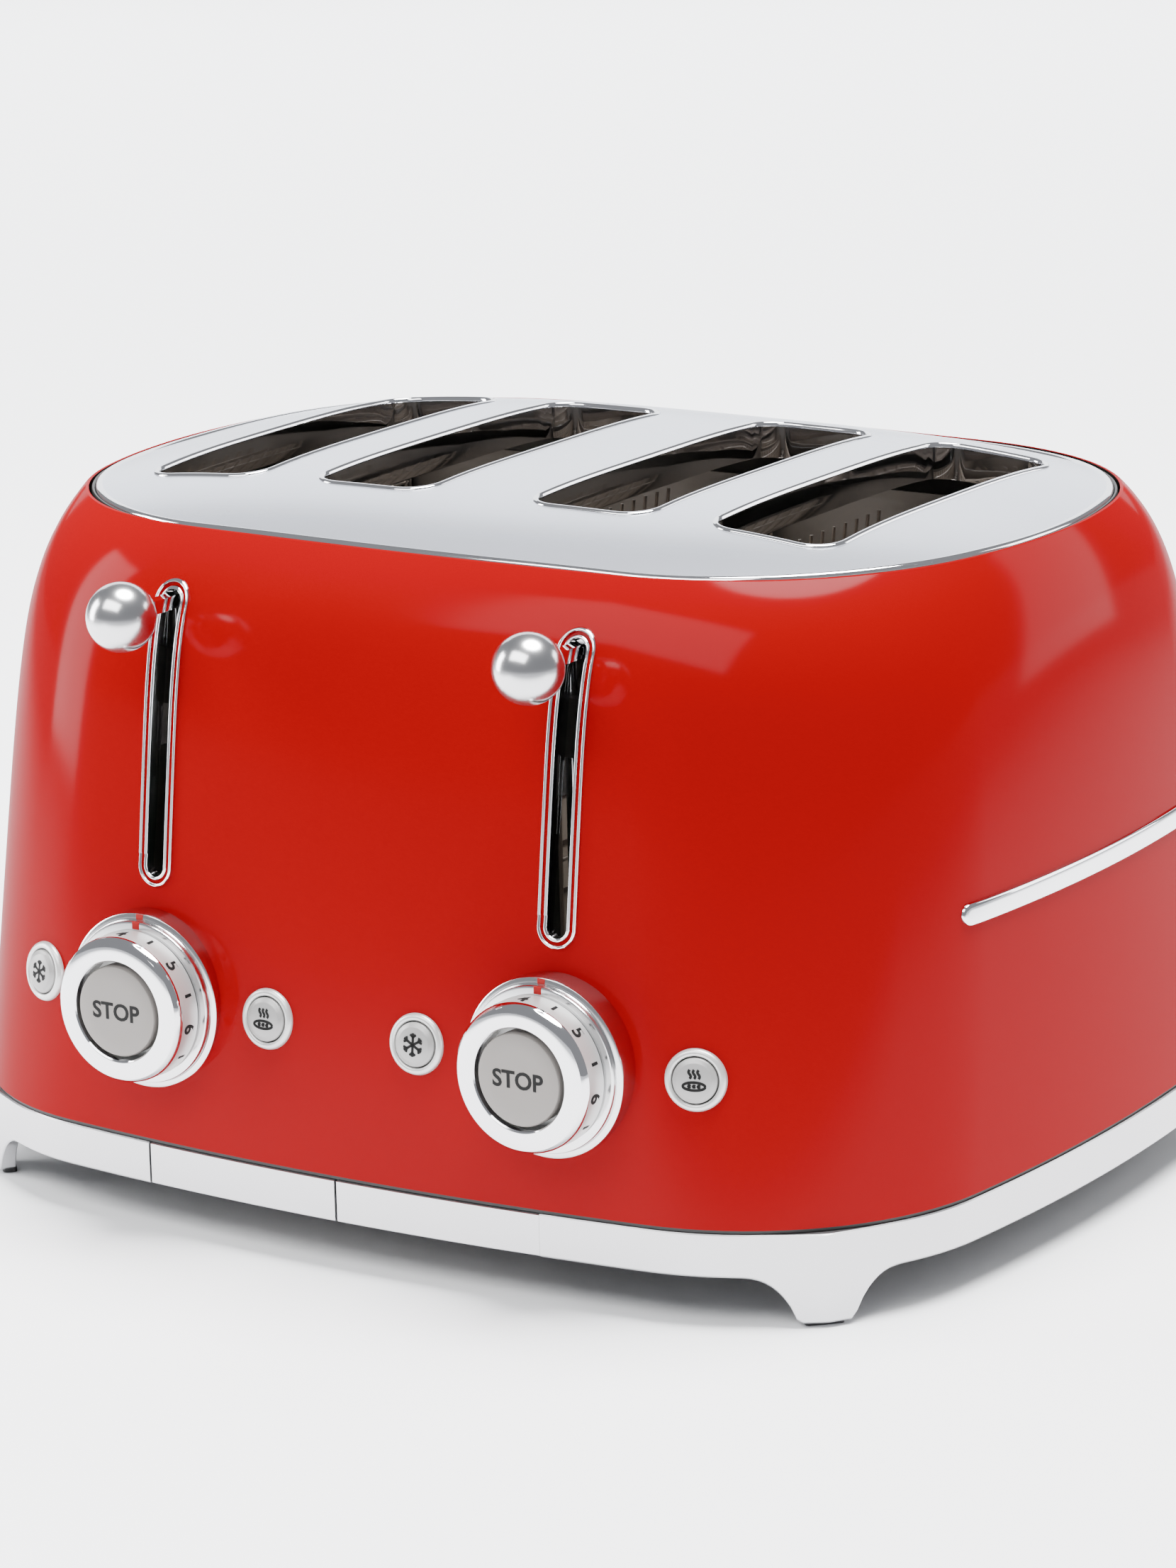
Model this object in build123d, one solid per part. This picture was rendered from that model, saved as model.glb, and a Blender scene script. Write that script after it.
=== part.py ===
"""Four-slot pop-up toaster: case, metal base, controls, levers, carriages, heaters, crumb trays.

Millimetres. +X right and +Y away from someone facing the dials, +Z up, z = 0 under the feet.
"""
import os
from math import atan2, cos, degrees, hypot, pi, sin, sqrt

from build123d import *

os.makedirs("parts", exist_ok=True)

# ---- driving dimensions
CY = 4.51                                 # middle of the case in Y: the dials reach further forward
Z_FOOT, Z_BAND0, Z_BAND1 = 1.5, 15.3, 28.3
Z_CASE, Z_RIM, Z_TOP = 29.4, 210.0, 220.5
BASE_W, BASE_D, RIM_W, RIM_D = 177.5, 152.5, 160.5, 113.0     # half widths and depths
WALL, SHEET = 2.2, 1.2
PLATE_W, PLATE_D = 157.6, 109.5           # half size of the top plate
SLOT_X, SLOT_W, SLOT_L, SLOT_R = (-101.2, -38.8, 38.8, 101.2), 40.0, 138.0, 9.0
LEVER_X, LEVER_Z, LEVER_LOW, TRAVEL = 71.5, 190.5, 112.0, 70.0
BALL_R, BALL_OUT = 10.5, 25.2             # lever ball, and its centre's distance from the case
PANEL_X, STRIP_Y = 124, 66.6                # where the case panels and the plate strips meet
DIAL_Z, DIAL_OUT, BUTTON_Z, BUTTON_DX = 72.2, 17.4, 72.5, 44.9
RAIL_Y = CY - 92.0                        # guide rods of the carriages
LIFT_Z = 148.0                            # top of the bread lifters at rest
GUIDE_X, GUIDE_SHIFT = 18.6, 4.0          # bread guides: half gap at rest, travel inwards
TRAY_W, SEAM = 69.7, 0.25
SIDES = {"left": -1, "right": 1}


# ---- plan outline of the case
def section(z, inset=0.0):
    """Half width, half depth, front, side and corner radius of the case at height z."""
    t = min(max((z - 29.0) / (Z_RIM - 29.0), 0.0), 1.0)
    wide = 0.45 * t + 0.55 * t ** 9.5
    deep = 0.6 * t + 0.4 * t ** 12
    a = BASE_W + (RIM_W - BASE_W) * wide - inset
    b = BASE_D + (RIM_D - BASE_D) * deep - inset
    return a, b, 845 + 555 * t ** 2, 650 - 470 * t ** 2, 80 + 6 * t - inset


def quarter(a, b, front, side, corner):
    """Arc centres in the front right quarter, and where the corner arc meets its neighbours."""
    p, q, r1, r2 = -b + front, a - side, front - corner, side - corner
    d = hypot(q, p)
    k = (r1 * r1 - r2 * r2 + d * d) / (2 * d)
    h = sqrt(max(r1 * r1 - k * k, 0.0))
    ux, uy = q / d, -p / d
    cx, cy = k * ux - h * uy, p + k * uy + h * ux
    if cx < 0 or cy > 0:
        cx, cy = k * ux + h * uy, p + k * uy - h * ux
    m1, m2 = r1 / front, r2 / side
    j1 = (cx / m1, p + (cy - p) / m1)
    j2 = (q + (cx - q) / m2, cy / m2)
    return p, q, (cx, cy), j1, j2


def plan(sec, z):
    """Closed face at height z: shallow front, back and side arcs joined by corner arcs."""
    a, b, front, side, corner = sec
    _, _, (cx, cy), (x1, y1), (x2, y2) = quarter(*sec)
    mid = (cx + corner * cos(-pi / 4), cy + corner * sin(-pi / 4))
    at = [(-x1, y1), (0, -b), (x1, y1), mid, (x2, y2), (a, 0), (x2, -y2), (mid[0], -mid[1]), (x1, -y1),
          (0, b), (-x1, -y1), (-mid[0], -mid[1]), (-x2, -y2), (-a, 0), (-x2, y2), (-mid[0], mid[1])]
    pts = [(x, y + CY, z) for x, y in at + at[:1]]
    return make_face([ThreePointArc(*pts[i:i + 3]).edge() for i in range(0, 16, 2)])


def slab(sec, z0, z1):
    """Solid between two heights with the plan of a section."""
    return extrude(plan(sec, z0), z1 - z0, dir=(0, 0, 1))


def ring(outer, inner, z0, z1):
    """Ring following the case's base between two insets."""
    return slab(section(29.0, outer), z0, z1) - slab(section(29.0, inner), z0, z1)


def hull_form(inset, heights):
    """Filled form of the case, drawn in by the inset."""
    return loft([plan(section(z, inset), z) for z in heights], ruled=True)


def front_y(x, z):
    """Y of the case's front surface."""
    sec = section(z)
    p, _, (cx, cy), (x1, _), _ = quarter(*sec)
    if abs(x) <= x1:
        return CY + p - sqrt(sec[2] ** 2 - x * x)
    return CY + cy - sqrt(sec[4] ** 2 - (abs(x) - cx) ** 2)


def front_plane(x, z):
    """Plane on the front surface whose normal points out of the case."""
    sx = (front_y(x + 1, z) - front_y(x - 1, z)) / 2
    sz = (front_y(x, z + 1) - front_y(x, z - 1)) / 2
    return Plane(origin=(x, front_y(x, z), z), x_dir=(1, sx, 0), z_dir=(sx, -1, sz))


def stadium(x, z0, z1, width, y0, y1):
    """Upright slot-shaped prism running along Y."""
    shape = SlotCenterToCenter(z1 - z0, width, rotation=90)
    return extrude(Plane(origin=(x, y0, (z0 + z1) / 2), x_dir=(1, 0, 0), z_dir=(0, 1, 0)) * shape, y1 - y0)


def rod_y(x, z, r, y0, y1):
    """Cylinder along Y between two depths."""
    return Pos(x, (y0 + y1) / 2, z) * Rot(90, 0, 0) * Cylinder(r, abs(y1 - y0))


def block(x0, x1, y0, y1, z0, z1):
    """Box between two corners."""
    return Pos((x0 + x1) / 2, (y0 + y1) / 2, (z0 + z1) / 2) * Box(abs(x1 - x0), abs(y1 - y0), z1 - z0)


def joined(items):
    """One body from touching or overlapping pieces."""
    total = items[0]
    for item in items[1:]:
        total = total + item
    return total


def save(shape, node):
    """Write one node."""
    export_step(shape, f"parts/{node}.step")


OUTER_Z = (Z_CASE, 80, 125, 155, 172, 183, 190, 195, 199.5, 203, 206, 208.2, Z_RIM)
INNER_Z = (Z_CASE, 125, 172, 190, 199.5, 206, Z_RIM)
OUT, IN, PROUD = hull_form(0, OUTER_Z), hull_form(WALL, INNER_Z), hull_form(-1.1, OUTER_Z)
PLATE = (PLATE_W, PLATE_D, 1400, 180, 84)
BUTTONS = {"defrost_left": -LEVER_X - BUTTON_DX, "bagel_left": -LEVER_X + BUTTON_DX,
           "defrost_right": LEVER_X - BUTTON_DX, "bagel_right": LEVER_X + BUTTON_DX}
DIAL_Y = front_y(LEVER_X, DIAL_Z)         # case surface behind a dial
FACE_Y = DIAL_Y - 6.2                     # front of the fixed dial rim


# ---- case and base
def parted(shape, regions):
    """A pressing as panels that meet edge to edge, one solid in each region."""
    return Compound(children=[Solid((shape & region).solid().wrapped) for region in regions])


def body_shell():
    shell = OUT - IN
    for s in SIDES.values():
        shell -= stadium(s * LEVER_X, LEVER_LOW, LEVER_Z, 8.4, CY - 170, CY - 60)
        shell -= rod_y(s * LEVER_X, DIAL_Z, 10.2, CY - 170, CY - 60)
        shell -= Pos(s * 26, CY + 140, 44) * Rot(90, 0, 0) * Cylinder(2.2, 60)
    for x in BUTTONS.values():
        shell -= front_plane(x, BUTTON_Z) * Cylinder(7.7, 30)
    shell -= rod_y(0, 46, 8.2, CY + 120, CY + 170)
    walls = [block(-PANEL_X, PANEL_X, CY - 200, CY, 0, 240), block(-PANEL_X, PANEL_X, CY, CY + 200, 0, 240),
             block(-200, -PANEL_X, CY - 200, CY + 200, 0, 240), block(PANEL_X, 200, CY - 200, CY + 200, 0, 240)]
    return parted(shell, walls)


def foot_form(sx, sy):
    """Flared outline of one foot, swept outwards through its corner."""
    cx, cy = quarter(*section(29.0))[2]
    left = [(-27, 17), (-26, 15.6), (-21, 14.6), (-16.5, 12), (-13, 8), (-10.6, 4), (-8.4, Z_FOOT)]
    right = [(-u, z) for u, z in left[::-1]]
    edges = [Spline(left).edge(), Line(left[-1], right[0]).edge(), Spline(right).edge(),
             Line(right[-1], left[0]).edge()]
    face = Plane(origin=(55, 0, 0), x_dir=(0, 1, 0), z_dir=(1, 0, 0)) * make_face(edges)
    turn = degrees(atan2(sy, sx))
    return Pos(sx * cx, CY - sy * cy, 0) * Rot(0, 0, turn) * extrude(face, 40)


def base_band():
    band = ring(0, 3.2, Z_BAND0, Z_BAND1)
    band -= block(-TRAY_W - SEAM * 2, TRAY_W + SEAM * 2, CY - 170, CY - 100, 10, 40)
    wrap = ring(0, 6.0, Z_FOOT, Z_BAND0 + 1.0)
    for sx, sy in ((1, -1), (1, 1), (-1, 1), (-1, -1)):
        band += foot_form(sx, sy) & wrap
    for s in (-1, 1):                     # ledges that carry the cover
        band += block(s * 160, s * 175, CY - 40, CY + 40, 15.3, 16.4) & slab(section(29.0, 1), 15, 17)
    return band


def foot_pads():
    pads = []
    for sx in (-1, 1):
        for sy in (-1, 1):
            cx, cy = quarter(*section(29.0))[2]
            x = sx * (cx + (section(29.0)[4] - 3.2) * cos(pi / 4))
            y = CY + sy * (-cy + (section(29.0)[4] - 3.2) * cos(pi / 4))
            turn = 45 if sx * sy > 0 else -45
            pad = Pos(x, y, Z_FOOT / 2) * Rot(0, 0, turn) * Box(4.4, 11.5, Z_FOOT)
            pads.append(fillet(pad.edges().filter_by(Axis.Z), 1.2))
    return Compound(children=[Solid(p.solid().wrapped) for p in pads])


def trim_ring():
    return ring(0.9, 6.0, Z_BAND1 + 0.1, Z_CASE - 0.1)


def bottom_cover():
    cover = slab(section(29.0, 4.0), 16.5, 17.7)
    cover -= block(-TRAY_W - 2, TRAY_W + 2, CY - 170, CY - 136, 10, 20)
    for s in (-1, 1):
        for i in range(9):
            cover -= Pos(s * 110, CY - 72 + 18 * i, 17) * Box(56, 5, 6)
        cleat = block(s * 30, s * 42, CY + 60, CY + 90, 9.0, 16.6)
        cover += cleat + block(s * 30, s * 58, CY + 60, CY + 90, 6.5, 9.1)
    for x, y in ((-60, -60), (60, -60), (-60, 40), (60, 40)):
        cover -= Pos(x, CY + y, 17) * Cylinder(1.9, 6)
    return cover


def base_screws():
    screws = []
    for x, y in ((-60, -60), (60, -60), (-60, 40), (60, 40)):
        head = Pos(x, CY + y, 15.6) * Cylinder(3.4, 1.6) - Pos(x, CY + y, 15.2) * Box(4.2, 0.8, 1.2)
        screws.append(head - Pos(x, CY + y, 15.2) * Box(0.8, 4.2, 1.2))
    return Compound(children=[Solid(s.solid().wrapped) for s in screws])


def cord_gland():
    y = CY + 152.0
    gland = rod_y(0, 46, 10.5, y - 2.4, y + 0.4) + rod_y(0, 46, 7.9, y - 9, y)
    return gland - rod_y(0, 46, 3.5, y - 20, y + 20) - (OUT - rod_y(0, 46, 8.0, y - 30, y + 9))


# ---- top plate
def crown_z(x, y):
    """Height of the plate's upper face; y is counted from the middle of the case."""
    far = (abs(x / PLATE_W) ** 3.2 + abs(y / PLATE_D) ** 3.2) ** (4 / 3.2)
    return Z_TOP - (Z_TOP - Z_RIM) * min(far, 1.06)


def crown_face(drop):
    xs = [-162 + 27 * i for i in range(13)]
    ys = [-118 + 23.6 * i for i in range(11)]
    grid = [[Vector(x, y + CY, crown_z(x, y) - drop) for y in ys] for x in xs]
    return Face.make_surface_from_array_of_points(grid)


def top_plate():
    edge = slab(PLATE, 190, 230)
    skin = extrude(crown_face(0), SHEET, dir=(0, 0, -1)) & edge
    deep = extrude(crown_face(0.4), 11, dir=(0, 0, -1)) & edge
    for x in SLOT_X:
        loop = Pos(x, CY, 190) * RectangleRounded(SLOT_W, SLOT_L, SLOT_R)
        bigger = Pos(x, CY, 190) * RectangleRounded(SLOT_W + 1.6, SLOT_L + 1.6, SLOT_R + 0.8)
        lip = extrude(bigger, 40) - extrude(loop, 40)
        skin = skin - extrude(loop, 40)
        skin = skin + (lip & deep)
    edges = (-200,) + SLOT_X + (200,)
    bars = [block(a, b, CY - STRIP_Y, CY + STRIP_Y, 180, 240) for a, b in zip(edges, edges[1:])]
    strips = [block(-200, 200, CY - 200, CY - STRIP_Y, 180, 240), block(-200, 200, CY + STRIP_Y, CY + 200, 180, 240)]
    return parted(skin, bars + strips)


def top_seal():
    outer = slab((PLATE_W + 0.9, PLATE_D + 0.9, 1400, 180, 84.9), Z_RIM - 5.2, Z_RIM - 2.2)
    return outer - slab((PLATE_W - 3, PLATE_D - 3, 1400, 180, 81), Z_RIM - 9, Z_RIM)


# ---- fixed trim round the controls
def lever_bezel(s):
    x = s * LEVER_X
    wide = stadium(x, LEVER_LOW, LEVER_Z, 12.6, CY - 170, CY - 60)
    neck = stadium(x, LEVER_LOW, LEVER_Z, 8.0, CY - 170, CY - 60)
    bore = stadium(x, LEVER_LOW, LEVER_Z, 6.4, CY - 170, CY - 60)
    return (((wide & PROUD) - OUT) + ((neck & PROUD) - IN)) - bore


def dial_bezel(s):
    x = s * LEVER_X
    flange = rod_y(x, DIAL_Z, 27.0, FACE_Y + 2.2, CY - 120) + rod_y(x, DIAL_Z, 25.0, FACE_Y, CY - 120)
    sleeve = rod_y(x, DIAL_Z, 9.9, FACE_Y, DIAL_Y + 9)
    return ((flange - OUT) + sleeve) - rod_y(x, DIAL_Z, 6.2, CY - 175, CY - 90)


def button_bezels():
    rings = []
    for x in BUTTONS.values():
        at = front_plane(x, BUTTON_Z)
        rim = at * Pos(0, 0, -2) * Cylinder(9.2, 6.6) - OUT
        neck = at * Pos(0, 0, -1.4) * Cylinder(7.4, 5.4)
        rings.append((rim + neck) - at * Cylinder(7.0, 40))
    return Compound(children=[Solid(r.solid().wrapped) for r in rings])


def side_badge(s):
    bar = Pos(s * 150, CY, 112) * Rot(0, 90, 0) * SlotOverall(150, 6.4, rotation=90)
    bar = extrude(bar, 60, both=True) & block(s * 120, s * 200, CY - 90, CY + 90, 90, 140)
    return (bar & PROUD) - OUT


# ---- inside: frame, heaters, controls
def chassis_wall(s):
    y = CY + s * 80.0
    wall = block(-131, 131, y, y + s * 1.2, 32, 198)
    wall += block(-131, 131, y, y + s * 10, 32, 33.2)
    for x in SLOT_X:
        wall -= block(x - 4, x + 4, y - 9, y + 9, LIFT_Z - TRAVEL - 16, LIFT_Z + 6)
    return wall


def reflector(name):
    x = {"left": -129.0, "centre": 0.0, "right": 129.0}[name]
    sheet = block(x - 0.4, x + 0.4, CY - 78, CY + 78, 44, 192)
    for y in (-78, 77):
        sheet += block(x - 5, x + 5, CY + y, CY + y + 1, 44, 192)
    return sheet


def heater_cards(s):
    boards = []
    for x in SLOT_X:
        if x * s > 0:
            for k in (-1, 1):
                board = block(x + k * 25 - 0.5, x + k * 25 + 0.5, CY - 74, CY + 74, 58, 190)
                for z in (70, 176):
                    board -= Pos(x + k * 25, CY, z) * Box(4, 60, 3)
                boards.append(board)
    return Compound(children=[Solid(b.solid().wrapped) for b in boards])


def heater_wires(s):
    strips = []
    for x in SLOT_X:
        if x * s > 0:
            for k in (-1, 1):
                inner = x + k * 24.4
                for i in range(7):
                    strips.append(Pos(inner, CY, 78 + 15 * i) * Box(0.2, 140, 1.6))
    return Compound(children=[Solid(b.solid().wrapped) for b in strips])


def guide_rods(s):
    x = s * LEVER_X
    frame = [Pos(x + k * 24, RAIL_Y, 118) * Cylinder(2.0, 150) for k in (-1, 1)]
    for z in (44, 186):
        bar = block(x - 29, x + 29, RAIL_Y - 5, CY - 81.2, z, z + 6)
        frame.append(bar)
    return joined(frame)


def lift_spring(s):
    path = Helix(pitch=2.6, height=15.6, radius=3.6)
    coil = sweep(Plane(origin=path @ 0, z_dir=path % 0) * Circle(0.5), path=path)
    return Pos(s * LEVER_X, RAIL_Y, 169.4) * coil


def latch_magnet(s):
    x = s * LEVER_X
    core = block(x - 8, x + 8, RAIL_Y - 6, RAIL_Y + 6, 50.2, 54) + Pos(x, RAIL_Y, 60) * Cylinder(3, 16)
    return core + Pos(x, RAIL_Y, 59) * Cylinder(8, 10)


def control_board(s):
    x, y = s * LEVER_X, CY - 116.0
    board = block(x - 40, x + 40, y, y + 1.6, 40, 100)
    board += block(x - 30, x - 18, y + 1.6, y + 9, 46, 60)
    board += block(x + 16, x + 32, y + 1.6, y + 8, 80, 92)
    return board - rod_y(x + 34, 46, 1.6, y - 5, y + 5) - rod_y(x - 34, 94, 1.6, y - 5, y + 5)


def dial_encoders():
    bodies = []
    for s in SIDES.values():
        shape = rod_y(s * LEVER_X, DIAL_Z, 9.5, CY - 124, CY - 116)
        bodies.append(shape - rod_y(s * LEVER_X, DIAL_Z, 5.3, CY - 130, CY - 118))
    return Compound(children=[Solid(b.solid().wrapped) for b in bodies])


# ---- moving: carriages
def carriage(s):
    x = s * LEVER_X
    plate = block(x - 37, x + 37, RAIL_Y - 5, RAIL_Y + 5, LIFT_Z + 2, LIFT_Z + 20)
    for k in (-1, 1):
        plate -= Pos(x + k * 24, RAIL_Y, LIFT_Z + 10) * Cylinder(2.05, 40)
        plate += block(x + k * 31.2 - 2, x + k * 31.2 + 2, RAIL_Y + 4, CY - 77, LIFT_Z - 12, LIFT_Z + 2.5)
        plate += block(x + k * 31.2 - 2, x + k * 31.2 + 2, RAIL_Y - 5, RAIL_Y + 5, LIFT_Z - 12, LIFT_Z + 3)
    return plate + block(x - 7, x + 7, RAIL_Y - 5, RAIL_Y + 5, LIFT_Z - 6, LIFT_Z + 3)


def lever_arm(s):
    x, y = s * LEVER_X, front_y(LEVER_X, LEVER_Z)
    arm = block(x - 2, x + 2, RAIL_Y - 8, RAIL_Y - 5, LIFT_Z + 4, LEVER_Z + 2)
    arm += block(x - 2, x + 2, y - BALL_OUT + 14, RAIL_Y - 5, LEVER_Z - 2, LEVER_Z + 2)
    return arm + rod_y(x, LEVER_Z, 1.8, y - BALL_OUT + 2, y - BALL_OUT + 15)


def lever_ball(s):
    x, y = s * LEVER_X, front_y(LEVER_X, LEVER_Z) - BALL_OUT
    ball = Pos(x, y, LEVER_Z) * Sphere(BALL_R) + rod_y(x, LEVER_Z, 4.6, y + 8, y + 10.2)
    ball += rod_y(x, LEVER_Z, 2.7, y + 9, y + 13)
    return ball - rod_y(x, LEVER_Z, 1.85, y + 1.5, y + 20)


def bread_lifter(x):
    bar = block(x - 1.6, x + 1.6, CY - 76.8, CY + 84, LIFT_Z - 9, LIFT_Z - 1)
    for i in range(9):
        bar += block(x - 12, x + 12, CY - 65.5 + 16 * i, CY - 62.5 + 16 * i, LIFT_Z - 4, LIFT_Z)
    return bar


def bread_guide(s, k):
    """The guides of both slots on one side that close in the k direction."""
    grids = []
    for x in SLOT_X:
        if x * s > 0:
            gx = x - k * (GUIDE_X + 1.0)
            grid = joined([block(gx - 0.8, gx + 0.8, CY - 72, CY + 72, z, z + 2) for z in (62, 120, 192)])
            for i in range(9):
                grid += Pos(gx, CY - 68 + 17 * i, 127.5) * Cylinder(0.8, 131)
            grids.append(grid)
    return Compound(children=[Solid(g.solid().wrapped) for g in grids])


# ---- moving: dials, buttons, trays
def dial(s):
    x, front = s * LEVER_X, DIAL_Y - DIAL_OUT
    knob = rod_y(x, DIAL_Z, 22.4, front + 2.6, FACE_Y - 0.4) + rod_y(x, DIAL_Z, 21.4, front, FACE_Y - 1)
    knob = chamfer(knob.edges().group_by(Axis.Y)[0], 1.6)
    knob -= rod_y(x, DIAL_Z, 15.4, front - 1, FACE_Y - 3.4)
    knob += rod_y(x, DIAL_Z, 5.0, FACE_Y - 1, CY - 118.6)
    return knob - rod_y(x, DIAL_Z, 3.6, front - 1, CY - 110)


def stop_button(s):
    x, front = s * LEVER_X, DIAL_Y - DIAL_OUT
    cap = rod_y(x, DIAL_Z, 14.0, front - 0.2, FACE_Y - 6.0)
    cap = fillet(cap.edges().group_by(Axis.Y)[0], 0.7)
    return cap + rod_y(x, DIAL_Z, 3.2, FACE_Y - 7, CY - 120.6)


def side_button(x):
    at = front_plane(x, BUTTON_Z)
    cap = at * Pos(0, 0, 0.1) * Cylinder(6.7, 4.2)
    cap = cap + at * Pos(0, 0, 2.4) * Cylinder(5.6, 0.6)
    return cap + at * Pos(0, 0, -5) * Cylinder(3.0, 8)


def crumb_tray(s):
    front = ring(0, 3.2, Z_BAND0 + 0.2, Z_BAND1 - 0.3)
    front &= block(s * SEAM, s * TRAY_W, CY - 170, CY - 120, 0, 40)
    x0, x1, y0, y1 = s * 2.0, s * (TRAY_W - 3), CY - 149.6, CY + 78
    pan = block(x0, x1, y0, y1, 18.6, 26.0)
    pan -= block(x0 + s, x1 - s, CY - 140, y1 - 1, 19.6, 30)
    return front + pan


# ---- write every node
def main():
    save(body_shell(), "body_shell")
    save(trim_ring(), "trim_ring")
    save(base_band(), "base_band")
    save(foot_pads(), "foot_pads")
    save(bottom_cover(), "bottom_cover")
    save(base_screws(), "base_screws")
    save(cord_gland(), "cord_gland")
    save(top_plate(), "top_plate")
    save(top_seal(), "top_seal")
    save(button_bezels(), "button_bezels")
    save(dial_encoders(), "dial_encoders")
    save(chassis_wall(-1), "chassis_front")
    save(chassis_wall(1), "chassis_rear")
    save(reflector("centre"), "reflector_centre")
    for i, x in enumerate(SLOT_X):
        save(bread_lifter(x), f"bread_lifter_{i + 1}")
    for name, x in BUTTONS.items():
        save(side_button(x), f"{name.split('_')[0]}_button_{name.split('_')[1]}")
    for side, s in SIDES.items():
        makers = {"lever_bezel": lever_bezel, "dial_bezel": dial_bezel, "side_badge": side_badge,
                  "reflector": lambda k: reflector(side), "heater_cards": heater_cards,
                  "heater_wires": heater_wires, "guide_rods": guide_rods, "lift_spring": lift_spring,
                  "latch_magnet": latch_magnet, "control_board": control_board, "carriage": carriage,
                  "lever_arm": lever_arm, "lever_ball": lever_ball, "dial": dial,
                  "stop_button": stop_button, "crumb_tray": crumb_tray}
        for name, maker in makers.items():
            save(maker(s), f"{name}_{side}")
        save(bread_guide(s, 1), f"bread_guides_{side}_a")
        save(bread_guide(s, -1), f"bread_guides_{side}_b")


if __name__ == "__main__":
    main()
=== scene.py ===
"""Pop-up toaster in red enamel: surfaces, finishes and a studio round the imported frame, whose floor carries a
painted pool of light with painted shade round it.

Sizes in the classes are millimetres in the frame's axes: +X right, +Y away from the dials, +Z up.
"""
from __future__ import annotations

import logging
import math
from dataclasses import dataclass, field
from enum import Enum
from typing import Callable, Sequence

import bmesh
import bpy
import numpy as np
from mathutils import Matrix, Vector


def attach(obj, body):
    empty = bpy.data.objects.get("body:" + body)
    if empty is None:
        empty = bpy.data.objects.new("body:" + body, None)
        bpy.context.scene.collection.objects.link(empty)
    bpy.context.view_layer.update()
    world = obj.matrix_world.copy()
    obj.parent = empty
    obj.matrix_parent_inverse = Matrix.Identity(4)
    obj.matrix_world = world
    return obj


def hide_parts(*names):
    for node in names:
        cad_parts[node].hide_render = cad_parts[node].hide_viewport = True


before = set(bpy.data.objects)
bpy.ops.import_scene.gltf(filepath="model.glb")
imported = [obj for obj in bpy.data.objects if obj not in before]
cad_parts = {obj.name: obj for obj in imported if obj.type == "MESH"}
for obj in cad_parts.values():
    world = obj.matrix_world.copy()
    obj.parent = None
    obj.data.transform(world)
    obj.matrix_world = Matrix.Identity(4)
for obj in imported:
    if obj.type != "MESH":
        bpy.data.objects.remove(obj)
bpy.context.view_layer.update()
MM = 0.001
MERGE, SLIVER = 1e-6, 1e-7          # metres: points this close become one
Array = np.ndarray
log = logging.getLogger("toaster")


class Side(Enum):
    """Left or right half of the toaster, with its sign along X."""

    LEFT = ("left", -1)
    RIGHT = ("right", 1)

    @property
    def word(self) -> str:
        """Name used in node and body names."""
        return self.value[0]

    @property
    def sign(self) -> int:
        """Sign along X."""
        return self.value[1]


# ---------------------------------------------------------------- shader groups
def new_group(name: str, inputs: Sequence[tuple[str, float]], outputs: Sequence[str]) -> bpy.types.NodeTree:
    """Start a shader node group.

    Args:
        name: the group's name.
        inputs: socket names and default values.
        outputs: names of float outputs.

    Returns:
        The group with its input and output nodes placed.
    """
    tree = bpy.data.node_groups.new(name, "ShaderNodeTree")
    for label, value in inputs:
        tree.interface.new_socket(label, in_out="INPUT", socket_type="NodeSocketFloat").default_value = value
    for label in outputs:
        tree.interface.new_socket(label, in_out="OUTPUT", socket_type="NodeSocketFloat")
    tree.nodes.new("NodeGroupInput").name = "in"
    tree.nodes.new("NodeGroupOutput").name = "out"
    return tree


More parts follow.
